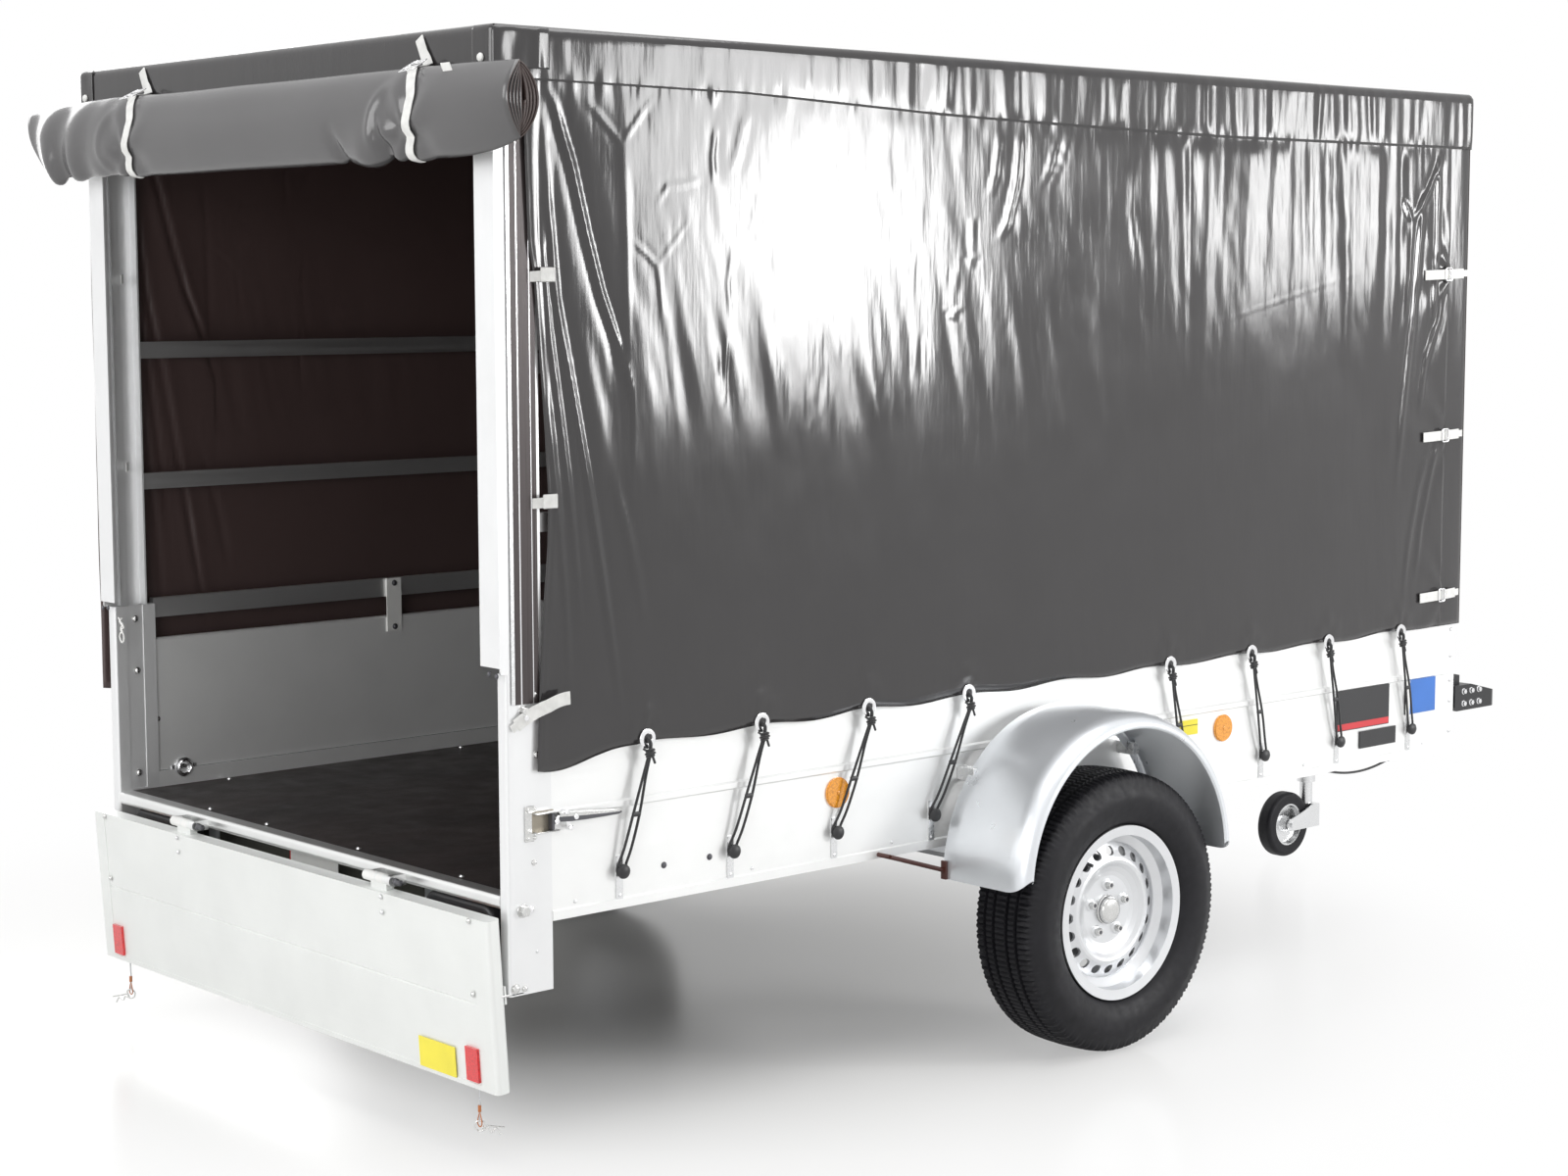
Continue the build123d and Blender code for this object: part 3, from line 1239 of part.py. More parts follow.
def jockey_leg():
    """Inner tube that winds up and down in the outer tube."""
    top = JOCKEY_TUBE_TOP - JOCKEY_COLLAR_HEIGHT - JOCKEY_WIND_IN - FORK_CLEARANCE
    bottom = fork_top() + 1
    tube = rod((JOCKEY_X, JOCKEY_Y, bottom), (JOCKEY_X, JOCKEY_Y, top), JOCKEY_INNER_RADIUS)
    core = rod(
        (JOCKEY_X, JOCKEY_Y, bottom - 1),
        (JOCKEY_X, JOCKEY_Y, top + 1),
        JOCKEY_INNER_RADIUS - JOCKEY_TUBE_WALL,
    )
    return tube - core


def jockey_fork():
    """Swivelling fork: a bridge under the leg with its stem, two cheeks and the wheel's axle."""
    half = JOCKEY_WHEEL_WIDTH / 2 + FORK_CLEARANCE
    outer = half + FORK_SHEET
    hub = jockey_hub()
    high = fork_top()
    eye = JOCKEY_AXLE_RADIUS + 10
    back = hub[0] + JOCKEY_WHEEL_RADIUS + FORK_CLEARANCE
    front = JOCKEY_X + JOCKEY_INNER_RADIUS + FORK_SHEET
    fork = block((back, front), (JOCKEY_Y - outer, JOCKEY_Y + outer), (hub[2] - eye, high))
    for way in (-1, 1):
        near = JOCKEY_Y + way * half
        far = JOCKEY_Y + way * outer
        cheek = along_y(
            [
                (hub[0], hub[2] - eye),
                (hub[0], hub[2] + eye),
                (back + 1, high),
                (back + 1, hub[2] - eye),
            ],
            sorted((near, far)),
        )
        fork += cheek + rod((hub[0], near, hub[2]), (hub[0], far, hub[2]), eye)
    end = outer + FORK_CLEARANCE
    fork += rod((hub[0], JOCKEY_Y - end, hub[2]), (hub[0], JOCKEY_Y + end, hub[2]), JOCKEY_AXLE_RADIUS)
    stem = JOCKEY_INNER_RADIUS - JOCKEY_TUBE_WALL - JOCKEY_STEM_CLEARANCE
    fork += rod((JOCKEY_X, JOCKEY_Y, high - 1), (JOCKEY_X, JOCKEY_Y, high + 3 * stem), stem)
    return fork


def jockey_hub():
    """Centre of the jockey wheel."""
    return (JOCKEY_X - JOCKEY_TRAIL, JOCKEY_Y, JOCKEY_WHEEL_RADIUS)


def jockey_tyre():
    """Solid rubber tyre of the jockey wheel, with rounded shoulders."""
    half = JOCKEY_WHEEL_WIDTH / 2
    height = JOCKEY_WHEEL_RADIUS - JOCKEY_RIM_RADIUS
    section = Pos(0, JOCKEY_RIM_RADIUS + height / 2) * Rectangle(JOCKEY_WHEEL_WIDTH, height)
    section = fillet(section.vertices().group_by(Axis.Y)[-1], half * 0.55)
    return Pos(*jockey_hub()) * revolve(Plane.YZ * section, axis=Axis.Y)


def jockey_rim():
    """Pressed rim of the jockey wheel with a dished web and a bored hub."""
    half = JOCKEY_WHEEL_WIDTH / 2
    radius = JOCKEY_RIM_RADIUS - 0.2
    bore = JOCKEY_AXLE_RADIUS + JOCKEY_STEM_CLEARANCE
    hub = JOCKEY_AXLE_RADIUS + 10
    outline = [
        (-half + 2, radius),
        (half - 2, radius),
        (half - 2, radius - FORK_SHEET),
        (6, radius - 8),
        (4, hub + 6),
        (half, hub),
        (half, bore),
        (-half, bore),
        (-half, hub),
        (-4, hub + 6),
        (-6, radius - 8),
        (-half + 2, radius - FORK_SHEET),
    ]
    return spin_y(outline, jockey_hub())


def wiring_lead():
    """Lead to the front marker lamps that hangs in a shallow bow between two grommets."""
    y = -(HALF - RAIL_FLANGE / 2)
    ends = [(BOX_LENGTH - LEAD_FRONT - LEAD_SPAN, y), (BOX_LENGTH - LEAD_FRONT, y)]
    high = RAIL_BOTTOM - GROMMET_HEIGHT
    bow = ThreePointArc(
        (ends[0][0], y, high), ((ends[0][0] + ends[1][0]) / 2, y, high - LEAD_SAG), (ends[1][0], y, high)
    )
    lead = sweep(Plane(origin=bow @ 0, z_dir=bow % 0) * Circle(LEAD_RADIUS), path=bow)
    for x, end_y in ends:
        lead += rod((x, end_y, high - LEAD_RADIUS), (x, end_y, RAIL_BOTTOM), LEAD_RADIUS * 2)
    return lead


# ---- writing --------------------------------------------------------------------------------------
def both(shapes):
    """Shapes modelled on the left together with their mirror images."""
    shapes = shapes if isinstance(shapes, list) else [shapes]
    return [on_side(shape, side) for side in SIDES for shape in shapes]


def main():
    os.makedirs("parts", exist_ok=True)
    save("floor_board", floor_board())
    save("cross_members", *cross_members())
    save("side_rails", *both(side_rail()))
    save("side_walls", *both(side_wall()))
    save("front_wall", front_wall())
    save("corner_posts", *both([front_post(), rear_post()]))
    save("rear_sill", rear_sill())
    save("lamp_carrier", lamp_carrier())
    save("tail_lamps", *both(tail_lamp()))
    save("plate_holder", plate_holder())
    save("side_latches", *both(side_latch()))
    save("side_reflectors", *both(side_reflectors()))
    save("cover_stakes", *both([rear_stake(), front_stake()]))
    save("roof_rails", *roof_rails())
    save("roof_bows", *roof_bows())
    save("cover_slats", *both(side_slats()), *front_slats())
    save("slat_brackets", *slat_brackets())
    save("cover", cover())
    save("flap_roll", flap_roll())
    save("roll_straps", *roll_straps())
    save("elastic_ties", *both(side_ties()), *front_ties())
    save("tie_buttons", *both(side_buttons()), *front_buttons())
    save("axle", axle())
    save("mudguards", *both(mudguard()))
    save("guard_stays", *both(guard_stays()))
    save("drawbar_beams", *both(drawbar_beam()))
    save("overrun_unit", overrun_unit())
    save("coupling_head", coupling_head())
    save("brake_lever", brake_lever())
    save("jockey_clamp", jockey_clamp())
    save("jockey_tube", jockey_tube())
    save("jockey_leg", jockey_leg())
    save("jockey_fork", jockey_fork())
    save("jockey_tyre", jockey_tyre())
    save("jockey_rim", jockey_rim())
    save("gate_panel", gate_panel())
    save("gate_frame", gate_frame())
    save("gate_reflectors", *gate_reflectors())
    save("gate_lanyards", *gate_lanyards())
    save("lanyard_clips", *lanyard_clips())
    save("wiring_lead", wiring_lead())
    for name, make in {"tyre": tyre, "rim": rim, "drum": drum}.items():
        shape = make()
        for side in SIDES:
            save(f"{name}_{side}", on_side(shape, side))


main()
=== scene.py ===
"""Looks of the covered utility trailer: materials for its CAD nodes, and modelled pieces for the
tarpaulin, its rolled flap, straps and ties, the tyres, mudguards, latches and small fittings.

Lengths are in metres in the row frame.  place(x, y, z) takes x from the rear faces of the rear posts.
"""

from math import atan2, cos, exp, hypot, pi, radians, sin, sqrt, tau

import bmesh
import bpy
import numpy as np
from mathutils import Matrix, Vector, noise


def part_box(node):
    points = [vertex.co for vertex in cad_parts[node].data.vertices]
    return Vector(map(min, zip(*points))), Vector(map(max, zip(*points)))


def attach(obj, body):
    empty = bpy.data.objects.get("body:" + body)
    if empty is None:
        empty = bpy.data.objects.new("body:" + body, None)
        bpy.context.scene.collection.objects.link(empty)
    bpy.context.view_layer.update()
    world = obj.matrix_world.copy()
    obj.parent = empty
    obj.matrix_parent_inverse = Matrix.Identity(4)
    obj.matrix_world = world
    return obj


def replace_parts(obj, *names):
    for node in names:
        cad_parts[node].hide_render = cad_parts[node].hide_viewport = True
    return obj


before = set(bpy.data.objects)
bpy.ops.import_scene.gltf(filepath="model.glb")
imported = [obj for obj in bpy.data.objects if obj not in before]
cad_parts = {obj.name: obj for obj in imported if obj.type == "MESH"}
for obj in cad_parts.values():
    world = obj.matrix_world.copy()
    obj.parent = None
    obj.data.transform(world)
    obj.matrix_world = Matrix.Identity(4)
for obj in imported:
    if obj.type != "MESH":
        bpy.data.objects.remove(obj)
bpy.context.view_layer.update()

# ---- sizes taken from the frame -------------------------------------------------------------------
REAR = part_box("corner_posts")[0].x
WALL_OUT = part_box("corner_posts")[1].y          # outer face of the walls
STAKE_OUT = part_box("cover_stakes")[1].y
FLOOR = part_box("floor_board")[1].z
BOX_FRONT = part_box("front_wall")[1].x - REAR
COVER_LOW, COVER_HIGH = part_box("cover")
HEM = COVER_LOW.z
ROOF = COVER_HIGH.z
COVER_OUT = COVER_HIGH.y
COVER_FRONT = COVER_HIGH.x - REAR
COVER_BACK = COVER_LOW.x - REAR
ROLL_LOW, ROLL_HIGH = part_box("flap_roll")
AXLE = (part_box("tyre_right")[0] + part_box("tyre_right")[1]) / 2
TYRE_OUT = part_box("tyre_right")[1].z - AXLE.z

# ---- sizes of the modelled pieces -----------------------------------------------------------------
PANEL_REAR = 0.094                              # rear edge of the side panels
PANEL_FRONT = 2.998                             # side panels' front edge, over the front's wrap strip
REAR_SKIRT = 0.078                              # how far the roof sheet comes down at the rear
PANEL_LAP = 0.030                               # how far the panels reach up behind the skirt
# (heights, places along) of the right panel's rear edge
REAR_EDGE = (
    [0.775, 0.935, 1.085, 1.198, 1.306, 1.497, 1.713, 1.780, 1.973],
    [0.067, 0.0747, 0.0862, 0.0972, 0.0999, 0.0899, 0.0723, 0.0600, 0.052],
)
PANEL_LEAST = WALL_OUT + 0.0045                 # the side panels come no closer to the middle than this
CLOTH = 0.0014                                  # thickness of the sheets
TIES = [0.332, 0.634, 0.936, 1.238, 2.822, 2.520, 2.218, 1.916]
TIE_PITCH = 0.302
TIE_LEAN = 0.062                                # how far back a tie's lower end lies
EYELET_Z = 0.805
BUTTON_Z = 0.546
BUTTON_OUT = 0.009                              # from the wall to the groove of a button
CORNER_BOLTS = [0.520, 0.600, 0.655, 0.720, 0.790, 0.860]
REAR_STRAPS = [1.718, 1.289]                    # heights of the straps along the side panels' edges
FRONT_STRAPS = [1.719, 1.305, 0.889]
STRAP_RIGHT = -0.608                            # middles of the straps round the rolled flap
STRAP_LEFT = 0.456
GUARD_GAP = 0.031                               # from the walls to the mudguards

UP = Vector((0, 0, 1))
LEFT = Vector((0, 1, 0))
AHEAD = Vector((1, 0, 0))
BACK = Vector((-1, 0, 0))
HAND = {-1: "right", 1: "left"}
SEEDS = {-1: 11.0, 1: 47.0}                     # each side's own noise


def place(x, y, z):
    """A point by its distance ahead of the rear posts' rear faces."""
    return Vector((REAR + x, y, z))


def hub(side):
    """Middle of a wheel."""
    return Vector((AXLE.x, side * abs(AXLE.y), AXLE.z))


def circle(centre, radius, count):
    """Points round an upright circle that looks to the side."""
    turns = [tau * index / count for index in range(count)]
    return [centre + Vector((radius * cos(turn), 0, radius * sin(turn))) for turn in turns]


def show(name, data):
    """A new object of the scene."""
    made = bpy.data.objects.new(name, data)
    bpy.context.scene.collection.objects.link(made)
    return made


# ---- materials ------------------------------------------------------------------------------------
class Finish:
    """A node material with one Principled shader, built up from small steps."""

    def __init__(self, name, base, roughness, metallic=0.0, **sockets):
        self.material = bpy.data.materials.new(name)
        self.material.use_nodes = True
        self.tree = self.material.node_tree
        self.shader = self.tree.nodes["Principled BSDF"]
        self.height = None
        plain = {"Base Color": (*base, 1), "Roughness": roughness, "Metallic": metallic}
        self.set(self.shader, plain)
        self.set(self.shader, sockets)

    @staticmethod
    def set(node, values):
        for name, value in values.items():
            node.inputs[name].default_value = value

    def add(self, kind, values=None, **settings):
        node = self.tree.nodes.new(kind)
        for name, value in settings.items():
            setattr(node, name, value)
        self.set(node, values or {})
        return node

    def link(self, source, target):
        self.tree.links.new(source, target)

    def coordinates(self, scale, turn):
        source = self.add("ShaderNodeTexCoord")
        mapping = self.add("ShaderNodeMapping", {"Scale": scale, "Rotation": turn})
        self.link(source.outputs["Object"], mapping.inputs["Vector"])
        return mapping.outputs["Vector"]

    def texture(self, kind, values, output="Fac", stretch=(1, 1, 1), turn=(0, 0, 0), **settings):
        """A texture that follows the object's own coordinates."""
        node = self.add("ShaderNodeTex" + kind, values, **settings)
        self.link(self.coordinates(stretch, turn), node.inputs["Vector"])
        return node.outputs[output]

    def noise(self, scale, detail, stretch=(1, 1, 1), turn=(0, 0, 0)):
        return self.texture("Noise", {"Scale": scale, "Detail": detail}, "Fac", stretch, turn)

    def cells(self, scale, feature="F1", output="Distance"):
        return self.texture("Voronoi", {"Scale": scale}, output, feature=feature)

    def threads(self, scale, distortion=0.0):
        values = {"Scale": scale, "Distortion": distortion, "Detail Scale": 2.0}
        return self.texture("Wave", values, bands_direction="DIAGONAL")

    def colours(self, source, low, high, start=0.3, end=0.7):
        """Base colour from low to high, between two values of a texture."""
        ramp = self.add("ShaderNodeValToRGB")
        for element, position, colour in zip(ramp.color_ramp.elements, (start, end), (low, high)):
            element.position = position
            element.color = (*colour, 1)
        self.link(source, ramp.inputs["Fac"])
        self.link(ramp.outputs["Color"], self.shader.inputs["Base Color"])

    def roughness(self, source, low, high):
        """Roughness from low to high, over the middle of a texture's range."""
        limits = {"From Min": 0.3, "From Max": 0.7, "To Min": low, "To Max": high}
        node = self.add("ShaderNodeMapRange", limits)
        self.link(source, node.inputs["Value"])
        self.link(node.outputs["Result"], self.shader.inputs["Roughness"])

    def bump(self, source, distance, strength):
        """Adds relief to what there is already."""
        node = self.add("ShaderNodeBump", {"Strength": strength, "Distance": distance})
        self.link(source, node.inputs["Height"])
        if self.height is not None:
            self.link(self.height, node.inputs["Normal"])
        self.height = node.outputs["Normal"]
        self.link(self.height, self.shader.inputs["Normal"])


def shade(colour, factor):
    """The same colour, lighter or darker."""
    return tuple(min(1.0, channel * factor) for channel in colour)


def surface(name, base, roughness, tint, gloss=None, metallic=0.0, **sockets):
    """Finish with soft clouds of colour and gloss, each given as noise scale, detail, low and high."""
    finish = Finish(name, base, roughness, metallic, **sockets)
    scale, detail, low, high = tint
    finish.colours(finish.noise(scale, detail), shade(base, low), shade(base, high))
    if gloss:
        scale, detail, low, high = gloss
        finish.roughness(finish.noise(scale, detail), roughness + low, roughness + high)
    return finish


def metal(name, base, roughness, lines=(1, 1, 1), grain=90.0, metallic=1.0):
    """Drawn or plated metal: fine lines along one axis, soft blotches and a little wear."""
    finish = surface(name, base, roughness, (7.0, 5.0, 0.97, 1.02), metallic=metallic)
    finish.roughness(finish.noise(grain, detail=4.0, stretch=lines), roughness - 0.05, roughness + 0.07)
    finish.bump(finish.noise(grain * 2, detail=2.0, stretch=lines), 0.00008, 0.5)
    return finish.material


def galvanised(name, base, roughness):
    """Hot-dip zinc with its spangle."""
    finish = Finish(name, base, roughness, 1.0)
    cells = finish.cells(55.0, output="Color")
    grey = finish.add("ShaderNodeSeparateColor")
    finish.link(cells, grey.inputs["Color"])
    finish.colours(grey.outputs["Red"], shade(base, 0.93), shade(base, 1.04), 0.0, 1.0)
    finish.roughness(finish.noise(22.0, detail=6.0), roughness - 0.06, roughness + 0.1)
    finish.bump(finish.noise(130.0, detail=3.0), 0.00012, 0.4)
    return finish.material


def satin_sheet(name, base, roughness):
    """Smooth zinc-coated sheet: soft clouds and a faint rolled grain."""
    finish = surface(name, base, roughness, (4.0, 4.0, 0.95, 1.04), (9.0, 5.0, -0.02, 0.04), 0.62)
    finish.bump(finish.noise(150.0, detail=2.0), 0.00004, 0.3)
    return finish.material


def rubber(name, base, roughness):
    """Dark rubber with a fine grain and dusty clouds."""
    settings = {"Specular IOR Level": 0.28}
    finish = surface(name, base, roughness, (35.0, 5.0, 0.8, 1.3), (60.0, 4.0, -0.06, 0.08), **settings)
    finish.bump(finish.noise(700.0, detail=2.0), 0.0002, 0.35)
    return finish.material


def plastic(name, base, roughness, grain=900.0, coat=0.0):
    """Moulded plastic or paint with a fine grain."""
    settings = {"Coat Weight": coat, "Coat Roughness": 0.15}
    finish = surface(name, base, roughness, (12.0, 4.0, 0.93, 1.04), **settings)
    finish.bump(finish.noise(grain, detail=2.0), 0.00006, 0.4)
    return finish.material


def prism(name, base):
    """Moulded reflector or lens with a grid of small prisms under a clear face."""
    finish = Finish(name, base, 0.16, **{"Coat Weight": 0.7, "Coat Roughness": 0.05})
    cells = finish.cells(260.0)
    finish.colours(cells, shade(base, 1.15), shade(base, 0.72), 0.1, 0.9)
    finish.bump(cells, 0.0006, 0.55)
    return finish.material


def tarpaulin(name, base, roughness, upright=(1, 1, 0.12), crinkle=1.0):
    """Coated fabric: fine weave, drawn-out crinkles and a glossy coat."""
    settings = {"Specular IOR Level": 0.60}
    finish = surface(name, base, roughness, (3.0, 6.0, 0.96, 1.05), (9.0, 5.0, -0.02, 0.03), **settings)
    finish.bump(finish.noise(60.0, detail=3.0, stretch=upright), 0.0006 * crinkle, 0.5)
    slanted = finish.noise(30.0, detail=2.0, stretch=(1, 1, 0.25), turn=(0, 0.35, 0))
    finish.bump(slanted, 0.0008 * crinkle, 0.5)
    finish.bump(finish.threads(520.0), 0.00003, 0.15)
    return finish.material


def webbing(name, base):
    """Woven band or cord cover."""
    finish = surface(name, base, 0.75, (60.0, 4.0, 0.86, 1.03), **{"Sheen Weight": 0.25})
    finish.bump(finish.threads(900.0, 0.4), 0.0002, 0.7)
    return finish.material


def plywood_film(name, base):
    """Phenolic film over plywood, pressed with a fine non-slip mesh, with scuffs."""
    finish = Finish(name, base, 0.42)
    scuffs = finish.noise(5.0, detail=7.0, stretch=(0.5, 1, 1))
    finish.colours(scuffs, shade(base, 0.7), shade(base, 1.6))
    finish.roughness(finish.noise(14.0, detail=6.0), 0.34, 0.55)
    finish.bump(finish.cells(210.0, feature="SMOOTH_F1"), 0.0007, 0.6)
    return finish.material


# how the noise is stretched so that a metal's fine lines run along, across or up
LENGTHWISE = (0.02, 6, 6)
CROSSWISE = (6, 0.02, 6)
UPRIGHT = (6, 6, 0.02)

ALU = metal("anodised_aluminium", (0.87, 0.875, 0.87), 0.38, lines=LENGTHWISE, metallic=0.5)
ALU_UPRIGHT = metal("anodised_aluminium_upright", (0.82, 0.825, 0.83), 0.34, lines=UPRIGHT, metallic=0.5)
ALU_ACROSS = metal("anodised_aluminium_across", (0.84, 0.845, 0.84), 0.33, lines=CROSSWISE)
SLAT = metal("mill_aluminium", (0.62, 0.62, 0.62), 0.45, lines=LENGTHWISE)
GALVANISED = galvanised("galvanised_steel", (0.70, 0.72, 0.745), 0.34)
GUARD = satin_sheet("galvanised_sheet", (0.76, 0.785, 0.815), 0.29)
# painted light: a paler, less metallic copy of galvanised steel, so the slat brackets show bright where
# they sit in shade
BRACKET = metal("bracket_plate", (0.86, 0.86, 0.84), 0.40, grain=150.0, metallic=0.25)
ZINC = metal("zinc_plate", (0.74, 0.745, 0.75), 0.28, grain=150.0)
CHROME = metal("bright_plate", (0.86, 0.86, 0.87), 0.14, grain=200.0)
STEEL = metal("plain_steel", (0.66, 0.66, 0.65), 0.24, grain=180.0)
DARK_STEEL = metal("dark_steel", (0.10, 0.10, 0.11), 0.38, grain=180.0, metallic=0.6)
BRASS_DARK = metal("stained_steel", (0.30, 0.27, 0.22), 0.45, grain=120.0, metallic=0.7)
GATE = metal("anodised_gate", (0.80, 0.815, 0.80), 0.48, lines=CROSSWISE, metallic=0.35)
# painted shade: near-black finish laid in the grooves of the rear stakes' profiles
SHADE_METAL = metal("shaded_profile", (0.055, 0.045, 0.045), 0.30, lines=UPRIGHT, metallic=0.35)
# painted shade: dark finish for the strip seen through the gap under the sill
GAP_SHADE = metal("painted_gap_shade", (0.10, 0.10, 0.085), 0.5, grain=90.0, metallic=0.5)
CAST = metal("drum_casting", (0.20, 0.20, 0.21), 0.6, grain=120.0, metallic=0.7)
WHEEL = metal("silver_wheel_paint", (0.72, 0.73, 0.745), 0.33, grain=160.0, metallic=0.75)
BLACK_PAINT = plastic("black_paint", (0.018, 0.018, 0.02), 0.38, grain=300.0)
BLACK = plastic("black_plastic", (0.022, 0.022, 0.024), 0.45)
WHITE = plastic("white_plastic", (0.84, 0.84, 0.82), 0.4)
PLATE = plastic("plate_white", (0.86, 0.86, 0.84), 0.3, coat=0.4)
AMBER = prism("amber_lens", (0.95, 0.36, 0.03))
RED = prism("red_lens", (0.74, 0.02, 0.025))
CLEAR = prism("clear_lens", (0.78, 0.78, 0.76))
TYRE = rubber("tyre_rubber", (0.0070, 0.0068, 0.0090), 0.54)
ELASTIC = webbing("elastic_cover", (0.020, 0.020, 0.022))
STRAP = webbing("white_webbing", (0.82, 0.82, 0.80))
FILM = plywood_film("floor_film", (0.014, 0.010, 0.0095))
PVC = tarpaulin("tarpaulin_outside", (0.034, 0.032, 0.033), 0.115)
PVC_IN = tarpaulin("tarpaulin_inside", (0.060, 0.038, 0.036), 0.42)
# painted light: the rolled flap is the same sheet as PVC, made lighter for the light the roll catches
PVC_ROLL = tarpaulin("tarpaulin_rolled", (0.090, 0.088, 0.090), 0.17, upright=(1, 0.3, 1), crinkle=0.2)
PVC_ROLL_IN = tarpaulin("tarpaulin_rolled_inside", (0.060, 0.040, 0.036), 0.45)
YELLOW = plastic("yellow_label", (0.90, 0.78, 0.04), 0.35, coat=0.3)
BLUE = plastic("blue_label", (0.03, 0.16, 0.55), 0.35, coat=0.3)
RED_LABEL = plastic("red_label", (0.62, 0.03, 0.04), 0.35, coat=0.3)
STAY_PAINT = plastic("stay_paint", (0.07, 0.02, 0.015), 0.4, grain=300.0)
WIRE = metal("coated_wire", (0.55, 0.56, 0.57), 0.3, grain=300.0)
SLEEVE = plastic("crimp_sleeve", (0.48, 0.16, 0.05), 0.4)

NODE_FINISHES = {
    "floor_board": FILM, "cross_members": GALVANISED, "side_rails": ALU, "side_walls": ALU,
    "front_wall": ALU_ACROSS, "corner_posts": ALU_UPRIGHT, "rear_sill": ALU_ACROSS,
    "lamp_carrier": GALVANISED, "tail_lamps": BLACK, "plate_holder": PLATE, "side_reflectors": AMBER,
    "cover_stakes": ALU_UPRIGHT, "roof_rails": ZINC, "roof_bows": ZINC, "cover_slats": SLAT,
    "slat_brackets": BRACKET, "axle": GALVANISED, "guard_stays": STAY_PAINT, "drawbar_beams": GALVANISED,
    "overrun_unit": BLACK_PAINT, "coupling_head": BLACK_PAINT, "brake_lever": ZINC,
    "jockey_clamp": GALVANISED, "jockey_tube": ZINC, "jockey_leg": ZINC, "jockey_fork": ZINC,
    "jockey_tyre": TYRE, "jockey_rim": ZINC, "gate_panel": GATE, "gate_frame": GATE,
    "gate_reflectors": RED, "wiring_lead": BLACK, "rim_left": WHEEL, "rim_right": WHEEL,
    "drum_left": CAST, "drum_right": CAST,
}


def dress_nodes():
    """Gives the solids that stay visible their materials."""
    for node, finish in NODE_FINISHES.items():
        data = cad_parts[node].data
        data.materials.clear()
        data.materials.append(finish)


